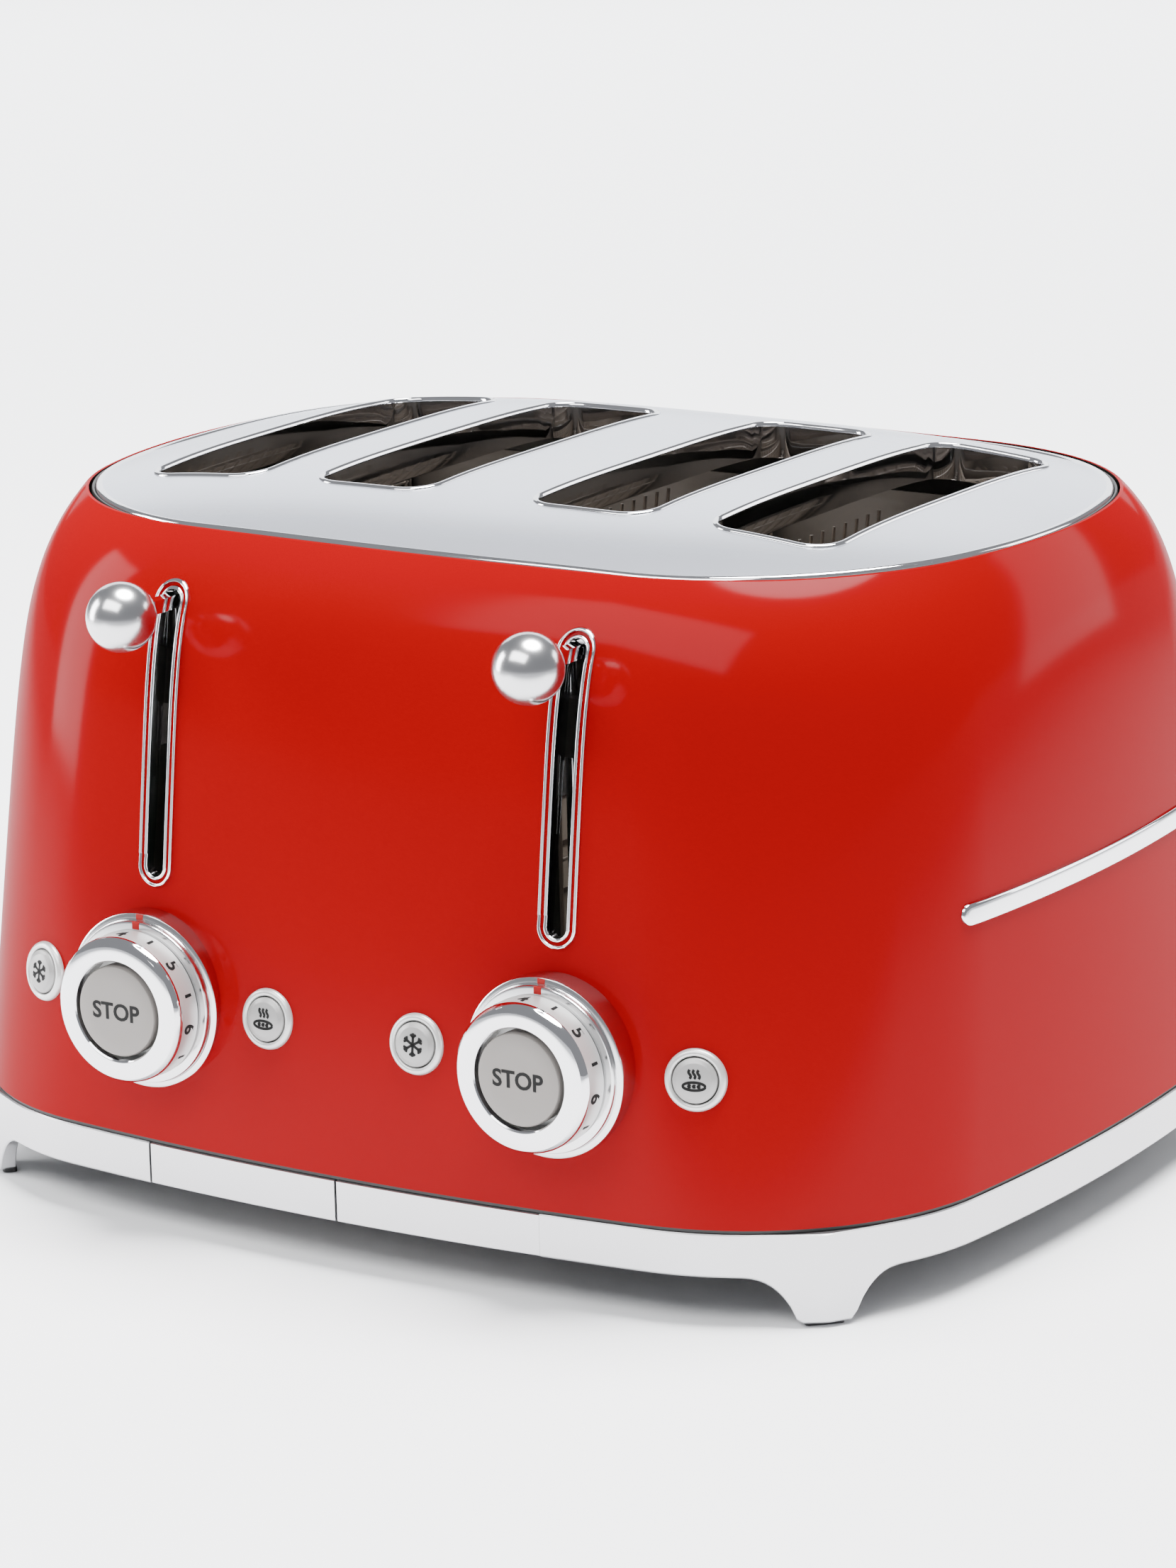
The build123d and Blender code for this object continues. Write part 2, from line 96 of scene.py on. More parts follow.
@dataclass
class EffectLibrary:
    """Shared effects: fine grain, smudges from handling and straight brushing."""

    groups: dict[str, bpy.types.NodeTree] = field(default_factory=dict)

    @staticmethod
    def noise(tree: bpy.types.NodeTree, vector: bpy.types.NodeSocket, detail: float,
              scale: bpy.types.NodeSocket | float) -> bpy.types.Node:
        """Add a noise texture.

        Args:
            tree: group that gets the node.
            vector: where the noise is read.
            detail: octaves of noise.
            scale: a number, or a socket that gives it.

        Returns:
            The texture node.
        """
        node = tree.nodes.new("ShaderNodeTexNoise")
        node.inputs["Detail"].default_value = detail
        tree.links.new(vector, node.inputs["Vector"])
        if isinstance(scale, float):
            node.inputs["Scale"].default_value = scale
        else:
            tree.links.new(scale, node.inputs["Scale"])
        return node

    @staticmethod
    def varied(tree: bpy.types.NodeTree, value: bpy.types.NodeSocket, amount: bpy.types.NodeSocket,
               base: bpy.types.NodeSocket) -> bpy.types.NodeSocket:
        """base + (value - 0.5) times amount, clamped, so the mean stays at base.

        Args:
            tree: group that gets the nodes.
            value: noise between 0 and 1.
            amount: how far the noise moves the result.
            base: the result where the noise is at its mean.

        Returns:
            The clamped sum.
        """
        less, times, add = (tree.nodes.new("ShaderNodeMath") for _ in range(3))
        less.operation, times.operation, add.operation = "SUBTRACT", "MULTIPLY", "ADD"
        less.inputs[1].default_value = 0.5
        add.use_clamp = True
        tree.links.new(value, less.inputs[0])
        tree.links.new(less.outputs[0], times.inputs[0])
        tree.links.new(amount, times.inputs[1])
        tree.links.new(times.outputs[0], add.inputs[0])
        tree.links.new(base, add.inputs[1])
        return add.outputs[0]

    def surface_marks(self) -> bpy.types.NodeTree:
        """Even grain for bump, and slow smudges that move the roughness."""
        if "marks" not in self.groups:
            tree = new_group("SurfaceMarks", [("Grain Scale", 900.0), ("Smudge Scale", 26.0), ("Smudge", 0.05),
                                              ("Roughness", 0.3)], ["Height", "Roughness", "Mask"])
            gin, gout = tree.nodes["in"], tree.nodes["out"]
            where = tree.nodes.new("ShaderNodeTexCoord").outputs["Object"]
            grain = self.noise(tree, where, 3.0, gin.outputs["Grain Scale"])
            smear = self.noise(tree, where, 5.0, gin.outputs["Smudge Scale"])
            moved = self.varied(tree, smear.outputs["Fac"], gin.outputs["Smudge"], gin.outputs["Roughness"])
            tree.links.new(grain.outputs["Fac"], gout.inputs["Height"])
            tree.links.new(moved, gout.inputs["Roughness"])
            tree.links.new(smear.outputs["Fac"], gout.inputs["Mask"])
            self.groups["marks"] = tree
        return self.groups["marks"]

    def brushing(self) -> bpy.types.NodeTree:
        """Long fine scratches: noise squeezed across one axis and drawn out along another."""
        if "brush" not in self.groups:
            tree = new_group("Brushing", [("Across", 1400.0), ("Along", 12.0), ("Amount", 0.1),
                                          ("Roughness", 0.3)], ["Height", "Roughness"])
            gin, gout = tree.nodes["in"], tree.nodes["out"]
            where = tree.nodes.new("ShaderNodeTexCoord").outputs["Object"]
            squeeze = tree.nodes.new("ShaderNodeVectorMath")
            squeeze.operation = "MULTIPLY"
            scale = tree.nodes.new("ShaderNodeCombineXYZ")
            tree.links.new(gin.outputs["Along"], scale.inputs[0])
            tree.links.new(gin.outputs["Across"], scale.inputs[1])
            tree.links.new(gin.outputs["Across"], scale.inputs[2])
            tree.links.new(where, squeeze.inputs[0])
            tree.links.new(scale.outputs[0], squeeze.inputs[1])
            lines = self.noise(tree, squeeze.outputs[0], 2.0, 1.0)
            moved = self.varied(tree, lines.outputs["Fac"], gin.outputs["Amount"], gin.outputs["Roughness"])
            tree.links.new(lines.outputs["Fac"], gout.inputs["Height"])
            tree.links.new(moved, gout.inputs["Roughness"])
            self.groups["brush"] = tree
        return self.groups["brush"]


EFFECTS = EffectLibrary()


class Grain(Enum):
    """How a finish breaks up the light."""

    EVEN = "even"
    BRUSHED = "brushed"


@dataclass(frozen=True)
class Finish:
    """One finish: colour, gloss and small-scale relief."""

    name: str
    color: tuple[float, float, float]
    color_far: tuple[float, float, float]
    roughness: float
    metallic: float = 0.0
    coat: float = 0.0
    coat_roughness: float = 0.03
    ior: float = 1.5
    coat_ior: float = 1.45
    specular: float = 0.5
    grain: Grain = Grain.EVEN
    grain_scale: float = 900.0
    bump: float = 0.02
    bump_mm: float = 0.02
    smudge: float = 0.04
    slot: str = "chrome"

    def material(self) -> bpy.types.Material:
        """Build the material, or find it if it is already there.

        Returns:
            A Principled surface: two close colours mixed by the smudge mask, with grain as bump.
        """
        known = bpy.data.materials.get(self.name)
        if known:
            return known
        mat = bpy.data.materials.new(self.name)
        mat.use_nodes = True
        nodes, links = mat.node_tree.nodes, mat.node_tree.links
        shader = nodes["Principled BSDF"]
        for socket, value in (("Metallic", self.metallic), ("IOR", self.ior), ("Coat Weight", self.coat),
                              ("Coat Roughness", self.coat_roughness), ("Coat IOR", self.coat_ior),
                              ("Specular IOR Level", self.specular)):
            shader.inputs[socket].default_value = value
        marks = nodes.new("ShaderNodeGroup")
        marks.node_tree = EFFECTS.surface_marks()
        marks.inputs["Grain Scale"].default_value = self.grain_scale
        marks.inputs["Smudge"].default_value = self.smudge
        marks.inputs["Roughness"].default_value = self.roughness
        mix = nodes.new("ShaderNodeMix")
        mix.data_type = "RGBA"
        mix.inputs["A"].default_value = (*self.color, 1.0)
        mix.inputs["B"].default_value = (*self.color_far, 1.0)
        links.new(marks.outputs["Mask"], mix.inputs["Factor"])
        links.new(mix.outputs["Result"], shader.inputs["Base Color"])
        source = marks
        if self.grain is Grain.BRUSHED:
            source = nodes.new("ShaderNodeGroup")
            source.node_tree = EFFECTS.brushing()
            source.inputs["Amount"].default_value = self.smudge
            source.inputs["Roughness"].default_value = self.roughness
        links.new(source.outputs["Roughness"], shader.inputs["Roughness"])
        bump = nodes.new("ShaderNodeBump")
        bump.inputs["Strength"].default_value = self.bump
        bump.inputs["Distance"].default_value = self.bump_mm * MM
        links.new(source.outputs["Height"], bump.inputs["Height"])
        links.new(bump.outputs["Normal"], shader.inputs["Normal"])
        return mat


RED = Finish("red_gloss_enamel", (0.205, 0.0001, 0.0022), (0.197, 0.0001, 0.0021), 0.35, coat=0.15,
             coat_roughness=0.11, coat_ior=1.42, specular=0.0, grain_scale=260.0, bump=0.02, bump_mm=0.01,
             smudge=0.04, slot="red_enamel")
PLATE_STEEL = Finish("satin_plate_steel", (0.59, 0.615, 0.68), (0.57, 0.595, 0.66), 0.27, metallic=0.72,
                     bump=0.03, bump_mm=0.01, smudge=0.06, slot="satin_steel")
CHROME = Finish("polished_chrome", (0.80, 0.80, 0.82), (0.76, 0.76, 0.78), 0.06, metallic=1.0, bump=0.01,
                bump_mm=0.01, smudge=0.03, slot="chrome")
SOFT_CHROME = Finish("soft_chrome", (0.72, 0.72, 0.73), (0.68, 0.68, 0.69), 0.16, metallic=1.0, bump=0.01,
                     bump_mm=0.01, smudge=0.04, slot="chrome")
SILVER = Finish("satin_silver_band", (0.58, 0.58, 0.595), (0.55, 0.55, 0.565), 0.24, metallic=0.92, bump=0.03,
                bump_mm=0.01, smudge=0.05, slot="satin_silver")
DIAL_SATIN = Finish("dial_satin_silver", (0.63, 0.63, 0.62), (0.60, 0.60, 0.59), 0.34, metallic=0.6, bump=0.03,
                    bump_mm=0.01, smudge=0.04, slot="dial_grey")
DISC_GREY = Finish("warm_grey_disc", (0.205, 0.19, 0.178), (0.195, 0.182, 0.17), 0.45, metallic=0.35, bump=0.05,
                   bump_mm=0.02, smudge=0.05, slot="dial_grey")
BUTTON_GREY = Finish("button_pale_grey", (0.34, 0.335, 0.33), (0.32, 0.315, 0.31), 0.38, metallic=0.35, bump=0.04,
                     bump_mm=0.02, smudge=0.05, slot="dial_grey")
INK = Finish("dark_print", (0.006, 0.006, 0.006), (0.008, 0.008, 0.008), 0.6, bump=0.02, specular=0.15,
             slot="dark_plastic")
RED_MARK = Finish("red_index", (0.30, 0.001, 0.001), (0.28, 0.001, 0.001), 0.4, bump=0.02, specular=0.2,
                  slot="red_enamel")
# Black rubber for the cord gland and foot pads; on the trim ring and the plate seal the same black also paints the
# shade in the gaps.
BLACK = Finish("black_rubber_and_painted_gap_shade", (0.012, 0.012, 0.012), (0.02, 0.02, 0.02), 0.55, bump=0.08, grain_scale=1500.0,
               slot="rubber")
DARK_PLASTIC = Finish("dark_plastic", (0.03, 0.03, 0.031), (0.04, 0.04, 0.04), 0.5, bump=0.1, grain_scale=1200.0,
                      slot="dark_plastic")
SHEET = Finish("plain_sheet_steel", (0.55, 0.53, 0.51), (0.46, 0.44, 0.42), 0.36, metallic=1.0,
               grain=Grain.BRUSHED, bump=0.05, smudge=0.15, slot="steel_sheet")
WIRE = Finish("guide_wire", (0.55, 0.50, 0.46), (0.42, 0.38, 0.34), 0.32, metallic=1.0, bump=0.04, smudge=0.12,
              slot="steel_sheet")
MICA = Finish("mica_board", (0.34, 0.29, 0.24), (0.24, 0.20, 0.165), 0.55, bump=0.15, grain_scale=400.0,
              smudge=0.1, slot="mica")
RIBBON = Finish("heating_ribbon", (0.16, 0.14, 0.13), (0.22, 0.17, 0.14), 0.45, metallic=0.9, bump=0.04,
                slot="heating_wire")
BOARD = Finish("circuit_board", (0.015, 0.09, 0.03), (0.012, 0.07, 0.025), 0.4, bump=0.06, slot="circuit_board")
BALL_CHROME = Finish("burnished_ball", (0.66, 0.66, 0.67), (0.62, 0.62, 0.63), 0.2, metallic=1.0, bump=0.01,
                     bump_mm=0.01, smudge=0.03, slot="chrome")
# Studio.floor_material replaces these colours with a painted pool of light and painted grey shade round it.
FLOOR = Finish("floor_with_painted_light_pool", (0.86, 0.865, 0.88), (0.85, 0.855, 0.87), 0.7, bump=0.02, smudge=0.02)


# ---------------------------------------------------------------- mesh tools
def grid_faces(rows: int, cols: int, close_rows: bool, close_cols: bool) -> Array:
    """Quads of a rows by cols grid of points: corner (i, j), (i, j+1), (i+1, j+1), (i+1, j).

    Args:
        rows: points in the first direction.
        cols: points in the second direction.
        close_rows: whether the last row joins the first.
        close_cols: whether the last column joins the first.

    Returns:
        One row of four point indices per quad.
    """
    i = np.arange(rows if close_rows else rows - 1)[:, None]
    j = np.arange(cols if close_cols else cols - 1)[None, :]
    k, m = (i + 1) % rows, (j + 1) % cols
    quads = np.stack([i * cols + j, i * cols + m, k * cols + m, k * cols + j], axis=-1)
    return quads.reshape(-1, 4)


def shade(mesh: bpy.types.Mesh, smooth_deg: float) -> None:
    """Shade a mesh smooth, but for edges sharper than the angle."""
    mesh.polygons.foreach_set("use_smooth", np.ones(len(mesh.polygons), dtype=bool))
    mesh.set_sharp_from_angle(angle=math.radians(smooth_deg))


def capped(rows: Array) -> Array:
    """Close a tube of rings at both ends: each end gets one more ring, shrunk to its middle.

    Args:
        rows: points of shape (rings, points per ring, 3).

    Returns:
        The rings with the two shrunk ones at the ends.
    """
    first, last = (np.repeat(rows[i].mean(axis=0)[None, None], rows.shape[1], 1) for i in (0, -1))
    return np.concatenate([first, rows, last])


def build(name: str, parts: Sequence[tuple[Array, Array]], smooth_deg: float = 32.0) -> bpy.types.Object:
    """Put point and face arrays into one object at the origin.

    Args:
        name: the piece's name.
        parts: pairs of (n, 3) points in millimetres and faces.
        smooth_deg: edges sharper than this stay crisp.

    Returns:
        The object, linked, with outward faces.
    """
    mesh = bpy.data.meshes.new(name)
    start, verts, faces = 0, [], []
    for points, quads in parts:
        verts.append(points.reshape(-1, 3) * MM)
        faces += (np.asarray(quads) + start).tolist()
        start += verts[-1].shape[0]
    mesh.from_pydata(np.concatenate(verts).tolist(), [], faces)
    bm = bmesh.new()
    bm.from_mesh(mesh)
    bmesh.ops.remove_doubles(bm, verts=bm.verts, dist=MERGE)
    bmesh.ops.dissolve_degenerate(bm, edges=bm.edges, dist=SLIVER)
    bmesh.ops.recalc_face_normals(bm, faces=bm.faces)
    bm.to_mesh(mesh)
    bm.free()
    shade(mesh, smooth_deg)
    piece = bpy.data.objects.new(name, mesh)
    bpy.context.scene.collection.objects.link(piece)
    return piece


def dress(piece: bpy.types.Object, finish: Finish, body: str, *nodes: str) -> bpy.types.Object:
    """Give a piece its finish, its body and the CAD nodes it stands for.

    Args:
        piece: the object.
        finish: its finish.
        body: the body it rides on.
        nodes: CAD nodes that it replaces, if any.

    Returns:
        The same object.
    """
    piece.data.materials.clear()
    piece.data.materials.append(finish.material())
    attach(piece, body)
    if nodes:
        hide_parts(*nodes)
    log.info("%s: %d faces on %s", piece.name, len(piece.data.polygons), body)
    return piece


def lathe(profile: Sequence[tuple[float, float]], centre: Sequence[float], axis: Sequence[float],
          turns: int = 96) -> tuple[Array, Array]:
    """Closed surface of revolution: each (radius, depth) point of a closed profile goes round the axis.

    Args:
        profile: closed loop of (radius, distance along the axis), or an open one that ends on the axis.
        centre: point on the axis where depth is zero.
        axis: direction of increasing depth.
        turns: steps round the axis.

    Returns:
        Points and faces.
    """
    w = np.asarray(axis, float)
    w = w / np.linalg.norm(w)
    u = np.cross(w, (0.0, 0.0, 1.0))
    u = u / np.linalg.norm(u)
    v = np.cross(w, u)
    prof = np.asarray(profile, float)
    angle = np.linspace(0.0, 2 * np.pi, turns, endpoint=False)[:, None, None]
    flat = prof[None, :, 0, None] * (np.cos(angle) * u + np.sin(angle) * v)
    points = np.asarray(centre, float) + flat + prof[None, :, 1, None] * w
    closed = not (prof[0, 0] < 1e-6 and prof[-1, 0] < 1e-6)
    return points, grid_faces(turns, len(prof), True, closed)


def block(x: tuple[float, float], y: tuple[float, float], z: tuple[float, float],
          soft: float = 0.3) -> tuple[Array, Array]:
    """Box with softened upright edges: an eight-sided plan lifted through four levels, capped by fans.

    Args:
        x: lower and upper X.
        y: lower and upper Y.
        z: lower and upper Z.
        soft: how far the edges are cut back.

    Returns:
        Points and faces.
    """
    (x0, x1), (y0, y1), (z0, z1), s = x, y, z, soft
    plan = np.array([(x0 + s, y0), (x1 - s, y0), (x1, y0 + s), (x1, y1 - s), (x1 - s, y1), (x0 + s, y1),
                     (x0, y1 - s), (x0, y0 + s)])
    mid = plan.mean(axis=0)
    inner = mid + (plan - mid) * (1 - 2 * s / max(x1 - x0, y1 - y0))
    rings = [(np.repeat(mid[None], 8, 0), z0), (inner, z0), (plan, z0 + s), (plan, z1 - s), (inner, z1),
             (np.repeat(mid[None], 8, 0), z1)]
    points = np.stack([np.c_[r, np.full(8, h)] for r, h in rings])
    return points, grid_faces(6, 8, False, True)


def tube(path: Array, radius: float, sides: int = 8) -> tuple[Array, Array]:
    """Round rod: a circle square to the line between the path's ends, carried along the path.

    Args:
        path: (n, 3) points of a straight or gently curved line.
        radius: the rod's radius.
        sides: points round it.

    Returns:
        Points and faces, closed at both ends.
    """
    ends = path[-1] - path[0]
    ends = ends / np.linalg.norm(ends)
    u = np.cross(ends, (0.31, 0.87, 0.38))
    u = u / np.linalg.norm(u)
    v = np.cross(ends, u)
    a = np.linspace(0, 2 * np.pi, sides, endpoint=False)[None, :, None]
    r = np.concatenate([[0.0], np.full(len(path), radius), [0.0]])[:, None, None]
    mid = np.concatenate([path[:1], path, path[-1:]])[:, None, :]
    return mid + r * (np.cos(a) * u + np.sin(a) * v), grid_faces(len(path) + 2, sides, False, True)


def cut(piece: bpy.types.Object, cutters: Sequence[bpy.types.Object]) -> None:
    """Take the cutters' solids out of a piece.

    Args:
        piece: the object that is cut.
        cutters: closed objects, removed afterwards.
    """
    for cutter in cutters:
        mod = piece.modifiers.new("cut", "BOOLEAN")
        mod.object, mod.operation, mod.solver = cutter, "DIFFERENCE", "EXACT"
    graph = bpy.context.evaluated_depsgraph_get()
    done = bpy.data.meshes.new_from_object(piece.evaluated_get(graph))
    piece.modifiers.clear()
    piece.data = done
    for cutter in cutters:
        bpy.data.objects.remove(cutter)


def true_normals(piece: bpy.types.Object, normal_at: Callable[[Array], Array], limit: float = 0.93) -> None:
    """Shade a cut surface by its formula's normals; faces that face elsewhere keep their own.

    Args:
        piece: the object.
        normal_at: unit normals over (n, 3) points in millimetres.
        limit: cosine between a face and its formula's normal above which the formula is used.
    """
    mesh = piece.data
    count = len(mesh.loops)
    index = np.empty(count, dtype=np.int64)
    mesh.loops.foreach_get("vertex_index", index)
    co = np.empty(len(mesh.vertices) * 3)
    mesh.vertices.foreach_get("co", co)
    co = co.reshape(-1, 3)[index] / MM
    totals = np.empty(len(mesh.polygons), dtype=np.int64)
    mesh.polygons.foreach_get("loop_total", totals)
    face = np.empty(len(mesh.polygons) * 3)
    mesh.polygons.foreach_get("normal", face)
    face = np.repeat(face.reshape(-1, 3), totals, axis=0)
    want = normal_at(co)
    own = np.empty(count * 3)
    mesh.corner_normals.foreach_get("vector", own)
    own = own.reshape(-1, 3)
    good = (want * face).sum(axis=1) > limit
    mesh.normals_split_custom_set(np.where(good[:, None], want, own).tolist())


def text_mesh(word: str, size: float, depth: float, bold: float = 0.12) -> tuple[Array, list[list[int]]]:
    """Plain lettering as a mesh, centred on its own plane.

    Args:
        word: the letters.
        size: letter size in millimetres.
        depth: half the thickness.
        bold: how far the outline is grown.

    Returns:
        Points in millimetres and faces.
    """
    curve = bpy.data.curves.new(f"text_{word}", "FONT")
    curve.body, curve.size, curve.extrude = word, size, depth
    curve.offset = bold
    curve.align_x, curve.align_y, curve.resolution_u = "CENTER", "CENTER", 4
    holder = bpy.data.objects.new(f"text_{word}", curve)
    bpy.context.scene.collection.objects.link(holder)
    mesh = bpy.data.meshes.new_from_object(holder.evaluated_get(bpy.context.evaluated_depsgraph_get()))
    co = np.empty(len(mesh.vertices) * 3)
    mesh.vertices.foreach_get("co", co)
    faces = [list(p.vertices) for p in mesh.polygons]
    bpy.data.objects.remove(holder)
    bpy.data.meshes.remove(mesh)
    co = co.reshape(-1, 3)
    co[:, :2] -= (co[:, :2].max(axis=0) + co[:, :2].min(axis=0)) / 2
    return co, faces


def ragged(name: str, parts: Sequence[tuple[Array, list[list[int]]]]) -> bpy.types.Object:
    """Object from parts whose faces differ in their number of corners.

    Args:
        name: the piece's name.
        parts: pairs of (n, 3) points in millimetres and lists of point indices.

    Returns:
        The object, linked, with outward faces.
    """
    verts, faces, start = [], [], 0
    for points, part in parts:
        verts += (points * MM).tolist()
        faces += [[i + start for i in f] for f in part]
        start += len(points)
    mesh = bpy.data.meshes.new(name)
    mesh.from_pydata(verts, [], faces)
    bm = bmesh.new()
    bm.from_mesh(mesh)
    bmesh.ops.remove_doubles(bm, verts=bm.verts, dist=SLIVER)
    bmesh.ops.recalc_face_normals(bm, faces=bm.faces)
    bm.to_mesh(mesh)
    bm.free()
    piece = bpy.data.objects.new(name, mesh)
    bpy.context.scene.collection.objects.link(piece)
    return piece


# ---------------------------------------------------------------- the case's form
@dataclass(frozen=True)
class CaseForm:
    """Plan of shallow front and side arcs joined by corner arcs, drawn in towards the rim."""

    middle_y: float = 4.51
    base: tuple[float, float] = (177.5, 152.5)
    rim: tuple[float, float] = (160.5, 113.0)
    z_base: float = 29.0
    z_rim: float = 210.0
    wide_bend: tuple[float, float] = (0.45, 9.5)     # straight share and power of the pull-in
    deep_bend: tuple[float, float] = (0.6, 12)
    front_radius: tuple[float, float] = (845, 555)   # at the base, and what the rim adds
    side_radius: tuple[float, float] = (650, -470)
    corner_radius: tuple[float, float] = (80, 6)

    def section(self, z: Array) -> tuple[Array, Array, Array, Array, Array]:
        """The plan at heights z: each half size is pulled in by share x t + (1 - share) x t to a power.

        Returns:
            Half width, half depth and the front, side and corner radii.
        """
        t = np.clip((np.asarray(z, float) - self.z_base) / (self.z_rim - self.z_base), 0.0, 1.0)
        halves = [at_base - (at_base - at_rim) * (share * t + (1 - share) * t ** power)
                  for at_base, at_rim, (share, power)
                  in zip(self.base, self.rim, (self.wide_bend, self.deep_bend))]
        return (*halves, self.front_radius[0] + self.front_radius[1] * t ** 2,
                self.side_radius[0] + self.side_radius[1] * t ** 2,
                self.corner_radius[0] + self.corner_radius[1] * t)

    @staticmethod
    def arcs(sec: Sequence[Array]) -> tuple[Array, ...]:
        """Arc centres of one quarter and the angles where the corner arc begins and ends.

        The corner's centre is where circles about the front and side centres, each smaller by the
        corner radius, cross.

        Args:
            sec: half width, half depth and the front, side and corner radii.

        Returns:
            Front centre's Y, side centre's X, corner centre's X and Y, and the corner arc's two angles.
        """
        a, b, front, side, corner = (np.asarray(s, float) for s in sec)
        p, q, r1, r2 = front - b, a - side, front - corner, side - corner
        d = np.hypot(q, p)
        k = (r1 ** 2 - r2 ** 2 + d ** 2) / (2 * d)
        h = np.sqrt(np.maximum(r1 ** 2 - k ** 2, 0.0))
        ux, uy = q / d, -p / d
        cx, cy = k * ux - h * uy, p + k * uy + h * ux
        other = (cx < 0) | (cy > 0)
        cx = np.where(other, k * ux + h * uy, cx)
        cy = np.where(other, p + k * uy - h * ux, cy)
        return p, q, cx, cy, np.arctan2(cy - p, cx), np.arctan2(cy, cx - q)

    def loop(self, sec: Sequence[Array], steps: int = 16) -> tuple[Array, Array, Array, Array]:
        """Closed plan loops for one or more sections: three arcs of a quarter, mirrored twice.

        Args:
            sec: half width, half depth and the front, side and corner radii.
            steps: points on each arc.

        Returns:
            x, y and the outward normal's x and y, each of shape (sections, points).
        """
        sec = [np.atleast_1d(np.asarray(s, float))[:, None] for s in sec]
        p, q, cx, cy, a1, a2 = self.arcs(sec)
        zero = np.zeros_like(p)
        f = np.linspace(0, 1, steps, endpoint=False)[None, :]
        g = np.linspace(0, 1, steps + 1)[None, :]
        spans = ((zero, p, sec[2], zero - np.pi / 2, a1, f), (cx, cy, sec[4], a1, a2, f),
                 (q, zero, sec[3], a2, zero, g))
        ang = [s + (e - s) * w for _, _, _, s, e, w in spans]
        x = np.concatenate([c + r * np.cos(t) for (c, _, r, _, _, _), t in zip(spans, ang)], axis=1)
        y = np.concatenate([c + r * np.sin(t) for (_, c, r, _, _, _), t in zip(spans, ang)], axis=1)
        nx = np.concatenate([np.cos(t) for t in ang], axis=1)
        ny = np.concatenate([np.sin(t) for t in ang], axis=1)

        def whole(v: Array, sx: int, sy: int) -> Array:
            """Mirror a quarter into the full loop."""
            return np.concatenate([v, sy * v[:, -2::-1], sx * sy * v[:, 1:], sx * v[:, -2:0:-1]], axis=1)

        return whole(x, -1, 1), whole(y, 1, -1) + self.middle_y, whole(nx, -1, 1), whole(ny, 1, -1)

    def distance(self, p: Array) -> Array:
        """Distance of points outside the plan at their own height.

        It is the distance from the centre of the arc that the point faces, less that arc's radius.
        """
        x, y = np.abs(p[:, 0]), -np.abs(p[:, 1] - self.middle_y)
        sec = self.section(p[:, 2])
        cp, cq, cx, cy, a1, a2 = self.arcs(sec)
        front = np.arctan2(y - cp, x) < a1
        side = np.arctan2(y, x - cq) > a2
        corner = np.hypot(x - cx, y - cy) - sec[4]
        return np.where(front, np.hypot(x, y - cp) - sec[2], np.where(side, np.hypot(x - cq, y) - sec[3], corner))

    def normals(self, p: Array) -> Array:
        """Outward unit normals: the gradient of the distance."""
        step = np.eye(3) * 0.05
        grad = np.stack([self.distance(p + s) - self.distance(p - s) for s in step], axis=1)
        return grad / np.linalg.norm(grad, axis=1, keepdims=True)

    def front_y(self, x: Array, z: Array) -> Array:
        """Y of the front surface over points (x, z)."""
        x, z = np.broadcast_arrays(np.asarray(x, float), np.asarray(z, float))
        sec = self.section(z)
        p, _, cx, cy, a1, _ = self.arcs(sec)
        flat = p - np.sqrt(sec[2] ** 2 - x ** 2)
        bend = cy - np.sqrt(np.maximum(sec[4] ** 2 - (np.abs(x) - cx) ** 2, 0.0))
        return self.middle_y + np.where(np.abs(x) <= sec[2] * np.cos(a1), flat, bend)

    def side_x(self, y: Array, z: Array) -> Array:
        """X of the right side's surface over points (y, z)."""
        y, z = np.broadcast_arrays(np.asarray(y, float) - self.middle_y, np.asarray(z, float))
        sec = self.section(z)
        _, q, cx, cy, _, a2 = self.arcs(sec)
        flat = q + np.sqrt(sec[3] ** 2 - y ** 2)
        bend = cx + np.sqrt(np.maximum(sec[4] ** 2 - (-np.abs(y) - cy) ** 2, 0.0))
        return np.where(np.abs(y) <= -sec[3] * np.sin(a2), flat, bend)

    def front_frame(self, x: float, z: float) -> tuple[Array, Array]:
        """Point on the front surface and the outward normal there."""
        at = np.array([x, float(self.front_y(x, z)), z])
        return at, self.normals(at[None])[0]


FORM = CaseForm()


